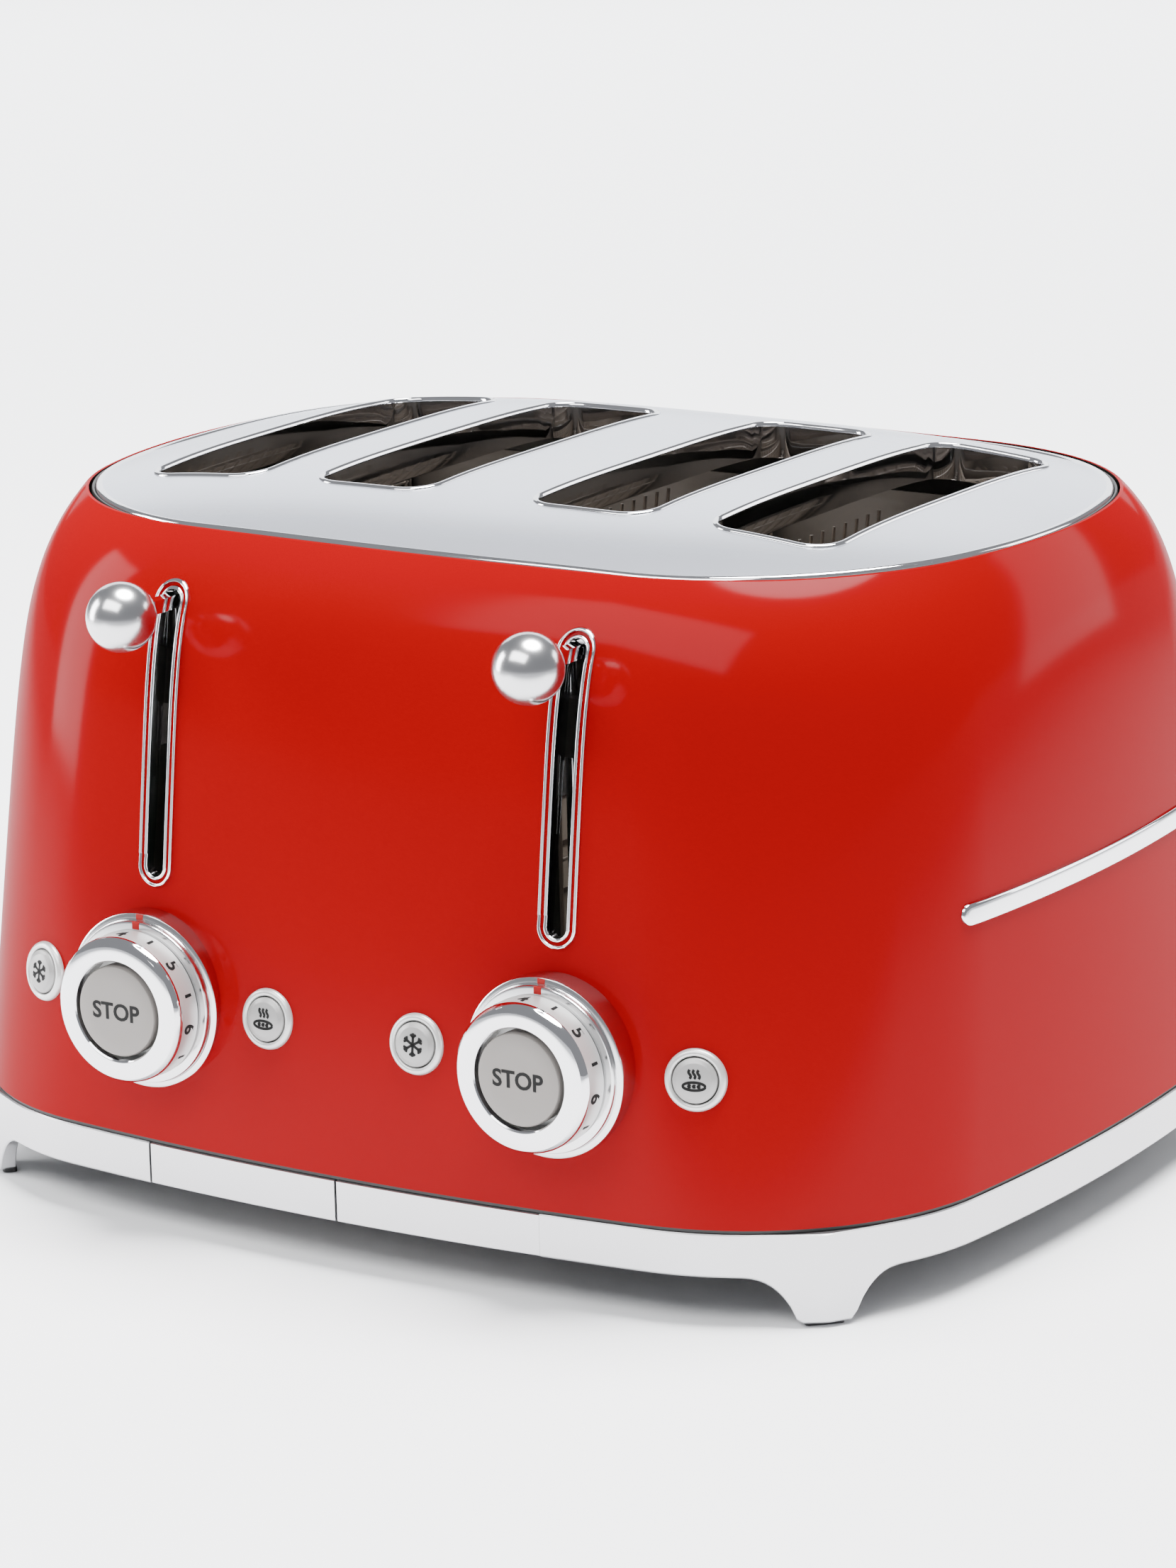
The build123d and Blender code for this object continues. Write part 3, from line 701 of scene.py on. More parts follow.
@dataclass
class Case:
    """Enamelled shell with its cut-outs."""

    wall: float = 2.2
    lever_x: float = 71.5
    lever_z: tuple[float, float] = (112.0, 190.5)
    dial_z: float = 72.2
    button_z: float = 72.5
    button_dx: float = 44.9
    slot_r: float = 4.2
    shaft_r: float = 10.2
    button_r: float = 7.7
    gland_r: float = 8.2
    gland_at: tuple[float, float, float] = (0, 155, 46)

    def button_xs(self) -> dict[str, float]:
        """Where each side button sits."""
        return {"defrost_left": -self.lever_x - self.button_dx, "bagel_left": -self.lever_x + self.button_dx,
                "defrost_right": self.lever_x - self.button_dx, "bagel_right": self.lever_x + self.button_dx}

    def shell(self) -> bpy.types.Object:
        """Outer skin up to a rolled rim, then the inner skin back down, closed into one wall."""
        up = np.concatenate([np.linspace(29.9, 150, 26), np.linspace(155, 195, 17), np.linspace(196.5, 209.4, 14)])
        down = np.linspace(208.5, 30.5, 26)
        z = np.concatenate([[29.4, 29.55], up, [209.8, 210.0, 209.8], down, [29.4]])
        inset = np.concatenate([[0.5, 0.12], np.zeros(len(up)), [0.15, 0.6, 1.1],
                                1.25 + (self.wall - 1.25) * np.minimum((208.5 - down) / 30, 1), [self.wall]])
        x, y, nx, ny = FORM.loop(FORM.section(z), 18)
        rows = np.stack([x - nx * inset[:, None], y - ny * inset[:, None],
                         np.broadcast_to(z[:, None], x.shape)], axis=-1)
        piece = build("enamel_case", [(rows, grid_faces(len(z), x.shape[1], True, True))], 40)
        cutters = [self.slot_cutter(s.sign * self.lever_x) for s in Side]
        cutters += [self.round_cutter(s.sign * self.lever_x, self.dial_z, self.shaft_r, (0.0, -1.0, 0.0))
                     for s in Side]
        for bx in self.button_xs().values():
            normal = FORM.front_frame(bx, self.button_z)[1]
            cutters.append(self.round_cutter(bx, self.button_z, self.button_r, normal))
        cutters.append(self.back_cutter())
        cut(piece, cutters)
        shade(piece.data, 40)
        true_normals(piece, FORM.normals)
        dress(piece, RED, "case", "body_shell")
        self.line(piece)
        return piece

    @staticmethod
    def line(piece: bpy.types.Object) -> None:
        """Bare steel on the faces that look inwards: their normal runs against the form's."""
        mesh = piece.data
        mid, own = np.empty(len(mesh.polygons) * 3), np.empty(len(mesh.polygons) * 3)
        mesh.polygons.foreach_get("center", mid)
        mesh.polygons.foreach_get("normal", own)
        inward = (FORM.normals(mid.reshape(-1, 3) / MM) * own.reshape(-1, 3)).sum(axis=1) < -0.5
        mesh.materials.append(SHEET.material())
        mesh.polygons.foreach_set("material_index", inward.astype(np.int32))

    def slot_cutter(self, x: float) -> bpy.types.Object:
        """Upright slot-shaped prism along Y."""
        a = np.linspace(0, 2 * np.pi, 48, endpoint=False)
        mid = np.where(np.sin(a) > 0, self.lever_z[1], self.lever_z[0])
        ring = np.c_[x + self.slot_r * np.cos(a), mid + self.slot_r * np.sin(a)]
        return self.prism("slot_cut", ring, -175.0, -70.0)

    @staticmethod
    def prism(name: str, ring: Array, y0: float, y1: float) -> bpy.types.Object:
        """Closed prism along Y from a ring of (x, z) points."""
        rows = capped(np.stack([np.c_[ring[:, 0], np.full(len(ring), d), ring[:, 1]] for d in (y0, y1)]))
        return build(name, [(rows, grid_faces(4, len(ring), False, True))])

    @staticmethod
    def round_cutter(x: float, z: float, radius: float, axis: Sequence[float]) -> bpy.types.Object:
        """Cylinder through the front wall."""
        at = (x, float(FORM.front_y(x, z)), z)
        return build("round_cut", [lathe([(0, -9), (radius, -9), (radius, 9), (0, 9)], at, axis, 64)])

    def back_cutter(self) -> bpy.types.Object:
        """Cylinder through the back wall for the cord gland."""
        prof = [(0, -14), (self.gland_r, -14), (self.gland_r, 14), (0, 14)]
        return build("back_cut", [lathe(prof, self.gland_at, (0, 1, 0), 64)])


@dataclass
class TopPlate:
    """Crowned steel plate with four slots, their rolled collars, and the bead and black seal round it; the seal's
    black also paints the shadow line at the plate's edge.
    """

    half: tuple[float, float] = (157.6, 109.5)
    top: float = 219.9
    drop: float = 10.5
    slot_x: tuple[float, ...] = (-101.2, -38.8, 38.8, 101.2)
    slot: tuple[float, float, float] = (20.0, 69.0, 9.0)
    radii: tuple[float, float, float] = (1400.0, 180.0, 84.0)
    square: float = 3.2
    thick: float = 1.1

    @property
    def plan(self) -> tuple[float, ...]:
        """The plate's plan: half width, half depth, front, side and corner radii."""
        return (*self.half, *self.radii)

    def crown(self, x: Array, y: Array) -> Array:
        """Height of the upper face: a superellipse distance to the fourth power lowers the edge."""
        power = self.square
        far = np.abs(x / self.half[0]) ** power + np.abs((y - FORM.middle_y) / self.half[1]) ** power
        return self.top - self.drop * np.minimum(far ** (4 / power), 1.06)

    def normals(self, p: Array) -> Array:
        """Upward unit normals of the crown."""
        e = 0.2
        gx = (self.crown(p[:, 0] + e, p[:, 1]) - self.crown(p[:, 0] - e, p[:, 1])) / (2 * e)
        gy = (self.crown(p[:, 0], p[:, 1] + e) - self.crown(p[:, 0], p[:, 1] - e)) / (2 * e)
        n = np.c_[-gx, -gy, np.ones(len(p))]
        return n / np.linalg.norm(n, axis=1, keepdims=True)

    def slot_loop(self, x: float, grow: float, steps: int = 10) -> Array:
        """Rounded rectangle round a slot: four corner arcs joined by straight runs with extra points.

        Args:
            x: the slot's middle.
            grow: how far the outline stands outside the slot.
            steps: points on each corner arc.

        Returns:
            (n, 2) points.
        """
        hw, hl, r = self.slot[0] + grow, self.slot[1] + grow, self.slot[2] + grow
        a = np.linspace(0, np.pi / 2, steps)
        pts = [np.c_[sx * (hw - r) + r * np.cos(a + turn), sy * (hl - r) + r * np.sin(a + turn)]
               for sx, sy, turn in ((1, 1, 0), (-1, 1, np.pi / 2), (-1, -1, np.pi), (1, -1, 3 * np.pi / 2))]
        long = np.linspace(0, 1, 18)[1:-1, None]
        short = np.linspace(0, 1, 6)[1:-1, None]
        runs = []
        for i, quarter in enumerate(pts):
            nxt = pts[(i + 1) % 4]
            w = long if i % 2 else short
            runs += [quarter, quarter[-1] + (nxt[0] - quarter[-1]) * w]
        return np.concatenate(runs) + (x, FORM.middle_y)

    def plate(self) -> bpy.types.Object:
        """Scaled copies of the plan from the middle to the edge, on the crown, with a thin underside."""
        s = np.concatenate([[0.0], np.linspace(0.03, 0.995, 40), [1.0]])
        x, y, _, _ = FORM.loop(self.plan, 18)
        xs, ys = s[:, None] * x, FORM.middle_y + s[:, None] * (y - FORM.middle_y)
        zs = self.crown(xs, ys)
        under = slice(None, None, -1)
        rows = np.concatenate([np.stack([xs, ys, zs], -1),
                               np.stack([xs[under], ys[under], zs[under] - self.thick], -1)])
        piece = build("steel_top", [(rows, grid_faces(len(rows), x.shape[1], False, True))], 40)
        cutters = []
        for sx in self.slot_x:
            ring = self.slot_loop(sx, 0.4)
            tiers = capped(np.stack([np.c_[ring, np.full(len(ring), h)] for h in (190.0, 235.0)]))
            cutters.append(build("slot", [(tiers, grid_faces(4, len(ring), False, True))]))
        cut(piece, cutters)
        shade(piece.data, 35)
        true_normals(piece, self.normals)
        return dress(piece, PLATE_STEEL, "case", "top_plate")

    def collars(self) -> bpy.types.Object:
        """A rolled lip and deep wall carried round each slot, its height following the crown."""
        prof = np.array([(2.0, -0.15), (1.75, 0.25), (1.3, 0.55), (0.8, 0.6), (0.35, 0.35), (0.05, -0.2),
                         (0.0, -1.0), (0.0, -5.0), (0.0, -10.6), (0.15, -11.0), (0.5, -11.0), (0.65, -10.6),
                         (0.7, -1.6), (1.9, -0.6)])
        parts = []
        for sx in self.slot_x:
            base = self.slot_loop(sx, 0.0)
            rings = np.stack([self.slot_loop(sx, g) for g in prof[:, 0]])
            h = self.crown(base[:, 0], base[:, 1])[None, :] + prof[:, 1, None]
            rows = np.concatenate([rings, h[..., None]], axis=-1)
            parts.append((rows, grid_faces(len(prof), len(base), True, True)))
        return dress(build("slot_collars", parts, 50), CHROME, "case")

    def edge_sweep(self, name: str, prof: Sequence[tuple[float, float]], finish: Finish,
                   *nodes: str) -> bpy.types.Object:
        """Carry a closed profile round the plate's edge, halfway between the case's rim and the crown.

        Args:
            name: the piece's name.
            prof: (outward, up) points.
            finish: its finish.
            nodes: CAD nodes that it replaces, if any.

        Returns:
            The dressed piece.
        """
        x, y, nx, ny = (v[0] for v in FORM.loop(self.plan, 22))
        p = np.asarray(prof)
        h = np.full_like(x, FORM.z_rim) * 0.5 + self.crown(x, y) * 0.5
        rows = np.stack([x + p[:, :1] * nx, y + p[:, :1] * ny, h + p[:, 1:]], axis=-1)
        return dress(build(name, [(rows, grid_faces(len(p), len(x), True, True))], 60), finish, "case", *nodes)

    def make(self) -> None:
        """Build everything on top."""
        self.plate()
        self.collars()
        self.edge_sweep("plate_bead", [(-2.4, 0.25), (-1.7, 0.7), (-0.9, 0.8), (-0.2, 0.45), (0.2, -0.2),
                                       (0.3, -1.0), (0.05, -1.7), (-0.6, -1.9), (-1.6, -1.2)], CHROME)
        # The black seal is partly a real seal and partly a painted shadow line between the plate's edge and the case's
        # rim.
        self.edge_sweep("plate_seal_and_painted_shadow_line", [(0.35, -3.8), (0.4, -0.9), (0.7, -0.35), (1.2, -0.3), (1.45, -0.8),
                                       (1.45, -3.8)], BLACK, "top_seal")


@dataclass
class Base:
    """Metal band with flared corner feet; its middle front belongs to the crumb trays."""

    z: tuple[float, float] = (15.3, 28.3)
    z_foot: float = 1.5
    wall: float = 3.2
    tray: float = 69.7
    seams: tuple[float, float, float] = (0.8, 0.42, 0.06)    # left, half the middle one, right
    corner_r: float = 80.0
    foot: tuple[float, float] = (8.4, 17.5)                  # half of the flat foot, run of its flank
    ridge: tuple[float, float] = (2.1, 20.0)                 # height and half width at the corner
    thicker: tuple[float, float] = (3.0, 22.0)               # the same for the wall's extra thickness

    def stations(self) -> Array:
        """The band's plan loop, finely stepped: rows of x, y and the outward normal's x and y."""
        return np.stack([v[0] for v in FORM.loop(FORM.section(29.0), 60)])

    @staticmethod
    def front_stations(x: Array) -> Array:
        """The same four rows at given x along the front."""
        y = FORM.front_y(x, 29.0)
        n = FORM.normals(np.c_[x, y, np.full_like(x, 29.0)])[:, :2]
        n = n / np.linalg.norm(n, axis=1, keepdims=True)
        return np.stack([x, y, n[:, 0], n[:, 1]])

    def strip(self, along: Array) -> tuple[Array, Array]:
        """Section of the band carried along given stations: outer face, softened edges, inner face.

        The lower edge dips to the foot near each corner's middle, along a rounded flank either side of
        it. A shallow ridge, highest at the corner's middle, pushes the face out.

        Args:
            along: rows of x, y and the outward normal's x and y.

        Returns:
            Points and faces, closed at both ends.
        """
        x, y, nx, ny = along
        far = np.abs((np.arctan2(np.abs(ny), np.abs(nx)) - np.pi / 4) * self.corner_r)
        t = np.clip((far - self.foot[0]) / self.foot[1], 0, 1)
        low = self.z_foot + (self.z[0] - self.z_foot) * (1 - (1 - t) ** 2.6) ** 0.8
        ridge = self.ridge[0] * np.clip(1 - far / self.ridge[1], 0, 1) ** 1.6
        thick = self.wall + self.thicker[0] * np.clip(1 - far / self.thicker[1], 0, 1)
        top = np.full_like(x, self.z[1])
        prof = [(0.35, top), (0.0, top - 0.35), (0.0, top - 4), (0.0, (top + low) / 2), (0.0, low + 0.5), (0.4, low),
                (thick - 0.3, low), (thick, low + 0.4), (thick, top - 0.3), (thick - 0.3, top)]
        rows = capped(np.stack([np.stack([x + nx * (ridge - d), y + ny * (ridge - d), h], -1)
                                for d, h in prof], axis=1))
        return rows, grid_faces(len(rows), len(prof), False, True)

    @staticmethod
    def rolled(first: Array) -> Array:
        """Turn a mask over the loop into indices that run on without a break."""
        index = np.flatnonzero(first)
        jump = np.flatnonzero(np.diff(index) > 1)
        return np.concatenate([index[jump[0] + 1:], index[:jump[0] + 1]]) if len(jump) else index

    def make(self) -> None:
        """Band, and tray fronts with their pans."""
        loop = self.stations()
        right, left = self.tray + self.seams[2], self.tray + self.seams[0]
        gap = np.where(loop[0] > 0, right, left)
        kept = loop[:, self.rolled(~((loop[1] < 0) & (np.abs(loop[0]) < gap + 0.5)))]
        ends = [self.front_stations(np.array([x])) for x in (right, -left)]
        band = self.strip(np.concatenate([ends[0], kept, ends[1]], axis=1))
        dress(build("base_band_with_feet", [band], 14), SILVER, "case", "base_band")
        for side in Side:
            s = side.sign
            rows, faces = self.strip(self.front_stations(s * np.linspace(self.seams[1], self.tray, 30)))
            rows[..., 2] = np.clip(rows[..., 2], self.z[0] + 0.15, self.z[1] - 0.15)
            lo, hi = sorted((s * 2.0, s * (self.tray - 3)))
            front, back, wall_z = FORM.middle_y - 140, FORM.middle_y + 78, (19.5, 26)
            pan = [block((lo, hi), (front, back), (18.6, 19.6)),
                   block((lo, lo + 1), (front, back), wall_z), block((hi - 1, hi), (front, back), wall_z),
                   block((lo, hi), (back - 1, back), wall_z),
                   block((lo, hi), (front - 8.5, front), (18.6, 26))]
            dress(build(f"tray_front_{side.word}", [(rows, faces)], 30), SILVER, f"tray_{side.word}",
                  f"crumb_tray_{side.word}")
            dress(build(f"tray_pan_{side.word}", pan, 30), SHEET, f"tray_{side.word}")


@dataclass
class Lever:
    """Slot frame, ball and collar of one lever."""

    side: Side
    x: float = 71.5
    low: float = 112.0
    high: float = 190.5
    ball_r: float = 10.5
    ball_out: float = 25.2

    def frame(self) -> None:
        """Two raised lines round the slot: rings of growing radius about its middle line, laid on the case."""
        prof = np.array([(6.3, -0.6), (6.3, 0.3), (6.15, 0.8), (5.8, 1.0), (5.45, 0.8), (5.3, 0.3), (5.25, -0.35),
                         (4.3, -0.35), (4.25, 0.3), (4.1, 0.7), (3.75, 0.85), (3.4, 0.7), (3.22, 0.2), (3.2, -3.0),
                         (3.9, -3.0), (4.0, -0.9)])
        a = np.linspace(0, 2 * np.pi, 72, endpoint=False)
        mid = np.where(np.sin(a) > 0, self.high, self.low)
        extra = np.linspace(self.low, self.high, 26)[1:-1]
        c = np.concatenate([np.cos(a[:36]), -np.ones(24), np.cos(a[36:]), np.ones(24)])
        s = np.concatenate([np.sin(a[:36]), np.zeros(24), np.sin(a[36:]), np.zeros(24)])
        m = np.concatenate([mid[:36], extra[::-1], mid[36:], extra])
        m[0] = self.high
        x = self.side.sign * self.x + prof[:, :1] * c
        z = m + prof[:, :1] * s
        rows = np.stack([x, FORM.front_y(x, z) - prof[:, 1:], z], axis=-1)
        piece = build(f"lever_frame_{self.side.word}", [(rows, grid_faces(len(prof), len(c), True, True))], 60)
        dress(piece, CHROME, "case", f"lever_bezel_{self.side.word}")

    def ball(self) -> None:
        """Sphere turned about Y with a neck and a stepped collar behind it."""
        r, a = self.ball_r, np.linspace(0, np.pi - 0.46, 40)
        prof = [(float(r * np.sin(t)), float(-r * np.cos(t))) for t in a]
        prof += [(4.5, 9.5), (4.6, 9.8), (4.45, 10.1), (3.4, 10.2), (2.7, 10.4), (2.7, 12.8), (2.5, 13.0), (1.9, 13.0),
                 (1.9, 2.0), (0.0, 2.0)]
        at = (self.side.sign * self.x, float(FORM.front_y(self.x, self.high)) - self.ball_out, self.high)
        piece = build(f"lever_knob_{self.side.word}", [lathe(prof, at, (0, 1, 0), 72)], 40)
        dress(piece, BALL_CHROME, f"carriage_{self.side.word}", f"lever_ball_{self.side.word}")


@dataclass
class Dial:
    """Fixed stepped rim, turning ring with numbers, and the stop button in its middle."""

    side: Side
    x: float = 71.5
    z: float = 72.2
    out: float = 17.4
    face: float = 6.2
    drum_r: float = 22.42
    body_y: float = field(init=False)

    def __post_init__(self) -> None:
        """Find the case surface behind the dial."""
        self.body_y = float(FORM.front_y(self.x, self.z))

    def turned(self, name: str, prof: Sequence[tuple[float, float]], finish: Finish, body: str, *nodes: str,
               sharp: float = 35.0) -> None:
        """Lathe a profile about the dial's axis.

        Args:
            name: the piece's name without its side.
            prof: (radius, distance out from the case) points.
            finish: its finish.
            body: the body it rides on.
            nodes: CAD nodes that it replaces.
            sharp: edges sharper than this angle stay crisp.
        """
        at = (self.side.sign * self.x, self.body_y, self.z)
        dress(build(f"{name}_{self.side.word}", [lathe(prof, at, (0, -1, 0), 128)], sharp), finish, body, *nodes)

    def rim(self) -> None:
        """Chrome flange of rounded steps that sinks into the leaning case."""
        f = self.face
        self.turned("dial_rim", [(6.3, f), (24.2, f), (24.8, f - 0.15), (25.05, f - 0.6), (25.05, f - 1.6),
                                 (25.25, f - 1.95), (25.6, f - 2.05), (26.5, f - 2.1), (26.9, f - 2.35),
                                 (27.0, f - 2.9), (27.0, -4.6), (6.3, -4.6)], SOFT_CHROME, "case",
                    f"dial_bezel_{self.side.word}")
        cx, cz, w = self.side.sign * self.x, self.z, 1.3
        y = self.body_y
        mark = [block((cx - w, cx + w), (y - f - 0.12, y - f + 0.5), (cz + 22.7, cz + 24.9), 0.1),
                block((cx - w, cx + w), (y - f + 1.95, y - f + 2.5), (cz + 25.15, cz + 26.8), 0.1)]
        dress(build(f"dial_mark_{self.side.word}", mark), RED_MARK, "case")

    def wrapped(self, points: Array, turn: float, out: float) -> Array:
        """Bend flat points round the drum: x becomes an angle, y runs along the axis, z stands on it.

        Args:
            points: (n, 3) flat points.
            turn: where x = 0 comes, in degrees from the top.
            out: where y = 0 comes, as a distance out from the case.

        Returns:
            (n, 3) points on the drum.
        """
        angle = math.radians(turn) + points[:, 0] / (self.drum_r + 0.03)
        r = self.drum_r + points[:, 2]
        return np.c_[self.side.sign * self.x + r * np.sin(angle), self.body_y - out + points[:, 1],
                     self.z + r * np.cos(angle)]

    def ring(self) -> None:
        """Bevelled chrome front on a satin drum, with six numbers and a stroke after each."""
        o, f, body = self.out, self.face, f"dial_{self.side.word}"
        self.turned("dial_front", [(15.3, o - 2.4), (15.3, o - 0.5), (15.7, o - 0.1), (16.2, o),
                                   (19.6, o - 0.15), (21.2, o - 0.6), (22.1, o - 1.6), (22.4, o - 2.9),
                                   (22.0, o - 3.1), (16.0, o - 3.1)],
                    CHROME, body, f"dial_{self.side.word}", sharp=30)
        self.turned("dial_drum", [(15.45, o - 2.6), (15.45, f + 3.4), (3.6, f + 3.4), (3.6, f - 4), (5.0, f - 4),
                                  (5.0, f + 0.8), (21.9, f + 0.5), (22.5, f + 0.9), (22.6, f + 1.4), (22.3, o - 3.0),
                                  (21.9, o - 2.7)], DIAL_SATIN, body, sharp=30)
        parts = []
        stroke, stroke_faces = block((-0.5, 0.5), (-1.5, 1.5), (-0.1, 0.12), 0.05)
        for i in range(6):
            points, faces = text_mesh(str(i + 1), 6.6, 0.12, 0.14)
            parts.append((self.wrapped(points, -160 + 52 * i, f + 4.6), faces))
            parts.append((self.wrapped(stroke.reshape(-1, 3), -134 + 52 * i, f + 4.0), stroke_faces.tolist()))
        dress(ragged(f"dial_numbers_{self.side.word}", parts), INK, body)

    def stop(self) -> None:
        """Matt disc with a softened edge and its word, on a stem."""
        o, f, body = self.out, self.face, f"stop_{self.side.word}"
        self.turned("stop_disc", [(0, o + 0.1), (9.0, o + 0.1), (12.9, o), (13.6, o - 0.2), (13.95, o - 0.7),
                                  (13.95, f + 6.2), (13.5, f + 6.0), (3.2, f + 6.0), (3.2, -18), (0, -18)],
                    DISC_GREY, body, f"stop_button_{self.side.word}")
        points, faces = text_mesh("STOP", 7.2, 0.08, 0.16)
        text = np.c_[self.side.sign * self.x + points[:, 0], self.body_y - o - 0.12 - points[:, 2],
                     self.z + points[:, 1]]
        dress(ragged(f"stop_word_{self.side.word}", [(text, faces)]), INK, body)

    def make(self) -> None:
        """Rim, ring and stop button."""
        self.rim()
        self.ring()
        self.stop()


class Sign(Enum):
    """Pictogram printed on a side button."""

    SNOW = "snow"
    BAGEL = "bagel"


@dataclass
class SideButton:
    """Round button in a bright ring, square to the case where it sits."""

    name: str
    x: float
    sign: Sign
    z: float = 72.5
    print_z: tuple[float, float] = (2.2, 2.42)
    pen: float = 0.40

    def strokes(self) -> list[Array]:
        """Lines of the pictogram in the button's own plane: a snowflake, or steam over a sliced bagel."""
        if self.sign is Sign.SNOW:
            lines = []
            for k in range(6):
                d = np.array([np.sin(k * np.pi / 3), np.cos(k * np.pi / 3)])
                n = np.array([d[1], -d[0]])
                lines.append(np.array([0 * d, 3.5 * d]))
                lines.append(np.array([3.1 * d + 0.95 * n, 2.2 * d, 3.1 * d - 0.95 * n]))
            return lines
        t = np.linspace(0, 2 * np.pi, 9)
        steam = [np.c_[x + 0.35 * np.sin(t), 0.7 + 2.6 * t / t[-1]] for x in (-1.3, 0.0, 1.3)]
        a = np.linspace(0, 2 * np.pi, 25)
        loaf = np.c_[3.3 * np.cos(a), -1.5 + 1.15 * np.sin(a)]
        dots = [np.c_[x + 0.3 * np.cos(a[::4]), -1.5 + 0.3 * np.sin(a[::4])] for x in (-1.4, 0.0, 1.4)]
        return steam + [loaf] + dots

    def make(self) -> None:
        """Ring, cap and printed sign."""
        at, normal = FORM.front_frame(self.x, self.z)
        kind, side = self.name.split("_")
        ring = [(7.0, -3.4), (7.0, 0.9), (7.25, 1.3), (7.8, 1.45), (8.5, 1.25), (9.0, 0.7), (9.2, 0.0), (9.2, -1.2),
                (7.6, -1.2), (7.4, -3.4)]
        dress(build(f"button_ring_{self.name}", [lathe(ring, at, normal, 72)], 50), DIAL_SATIN, "case",
              *(["button_bezels"] if self.name == "defrost_left" else []))
        cap = [(0, 2.35), (5.0, 2.3), (5.5, 2.1), (5.8, 1.75), (6.3, 1.65), (6.6, 1.35), (6.65, 0.8),
               (6.65, -1.9), (3.0, -2.0), (3.0, -8.6), (0, -8.6)]
        dress(build(f"button_cap_{self.name}", [lathe(cap, at, normal, 72)], 40), BUTTON_GREY, self.name,
              f"{kind}_button_{side}")
        u = np.cross((0.0, 0.0, 1.0), normal)
        u = u / np.linalg.norm(u)
        v = np.cross(normal, u)
        low, high = self.print_z
        parts = []
        for line in self.strokes():
            d = np.gradient(line, axis=0)
            d = d / np.linalg.norm(d, axis=1, keepdims=True)
            n = np.c_[-d[:, 1], d[:, 0]] * self.pen
            rows = capped(np.stack([np.c_[line + k * n, np.full(len(line), h)]
                                    for k, h in ((1, low), (1, high), (-1, high), (-1, low))], axis=1))
            world = at + rows[..., :1] * u + rows[..., 1:2] * v + rows[..., 2:] * normal
            parts.append((world, grid_faces(len(rows), 4, False, True)))
        dress(build(f"button_sign_{self.name}", parts, 20), INK, self.name)


@dataclass
class Trim:
    """Plain slim bars on both sides."""

    half_length: float = 75.0
    half_height: float = 3.2
    z: float = 112.0
    points: tuple[int, int] = (17, 40)

    def make(self, side: Side) -> None:
        """A crowned rounded bar laid on the side surface, from nested rounded outlines."""
        bend, straight = self.points
        half = np.linspace(-np.pi / 2, np.pi / 2, bend)
        run = np.full(straight, np.pi / 2)
        a = np.concatenate([half, run, half + np.pi, run + np.pi])
        reach = self.half_length - self.half_height
        slide = np.linspace(reach, -reach, straight + 2)[1:-1]
        end = np.concatenate([np.full(bend, reach), slide, np.full(bend, -reach), -slide])
        prof = np.array([(1.0, -0.3), (1.0, 0.6), (0.93, 0.9), (0.8, 1.05), (0.4, 1.1), (0.0, 1.1)])
        y = FORM.middle_y + end * np.ones((len(prof), 1)) + prof[:, :1] * self.half_height * np.cos(a)
        z = self.z + prof[:, :1] * self.half_height * np.sin(a)
        out = FORM.side_x(y, z) + prof[:, 1:]
        back = np.stack([side.sign * out[:1], y[:1], z[:1]], -1)
        rows = np.concatenate([back, np.stack([side.sign * out, y, z], -1)])
        piece = build(f"side_bar_{side.word}", [(rows, grid_faces(len(rows), len(a), False, True))], 50)
        dress(piece, CHROME, "case", f"side_badge_{side.word}")


@dataclass
class BreadGuides:
    """Wire grids on both sides of every slot."""

    slots: tuple[float, ...] = (-101.2, -38.8, 38.8, 101.2)
    off: float = 19.6
    upright_r: float = 0.55
    cross_r: float = 0.6
    cross_z: tuple[float, ...] = (63.0, 105.0, 147.0, 186.0)

    def make(self, side: Side) -> None:
        """Thin upright wires with bent tops on four cross wires, a grid per slot and direction."""
        cy = FORM.middle_y
        for k, word in ((1, "a"), (-1, "b")):
            parts = []
            for x in (v for v in self.slots if v * side.sign > 0):
                gx = x - k * self.off
                for y in np.linspace(cy - 70, cy + 70, 21):
                    upright = np.array([(gx, y, 62.0), (gx, y, 189.0), (gx - k * 0.5, y, 193.5)])
                    parts.append(tube(upright, self.upright_r, 6))
                for z in self.cross_z:
                    across = np.array([(gx - k * 0.2, cy - 71.5, z), (gx - k * 0.2, cy + 71.5, z)])
                    parts.append(tube(across, self.cross_r, 6))
            dress(build(f"guide_grid_{side.word}_{word}", parts, 60), WIRE, f"guides_{side.word}_{word}",
                  f"bread_guides_{side.word}_{word}")


@dataclass
class CarriedOver:
    """CAD nodes that keep their shape and get a finish."""

    finishes: dict[str, Finish] = field(default_factory=lambda: {
        "chassis": SHEET, "reflector": SHEET, "guide_rods": SOFT_CHROME, "carriage": SHEET, "base_screws": SOFT_CHROME,
        "lift_spring": WIRE, "bread_lifter": WIRE, "heater_cards": MICA, "heater_wires": RIBBON,
        "control_board": BOARD, "dial_encoders": DARK_PLASTIC, "latch_magnet": DARK_PLASTIC,
        # trim_ring takes the black finish as painted shade: it darkens the gap between the band's top and the case.
        "bottom_cover": DARK_PLASTIC, "cord_gland": BLACK, "foot_pads": BLACK, "trim_ring": BLACK,
        "lever_arm": CHROME})

    def make(self) -> None:
        """Assign a finish to every CAD node that is still shown."""
        for name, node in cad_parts.items():
            match = [f for key, f in self.finishes.items() if name.startswith(key)]
            chosen = match[0] if match else SHEET
            node.data.materials.clear()
            node.data.materials.append(chosen.material())


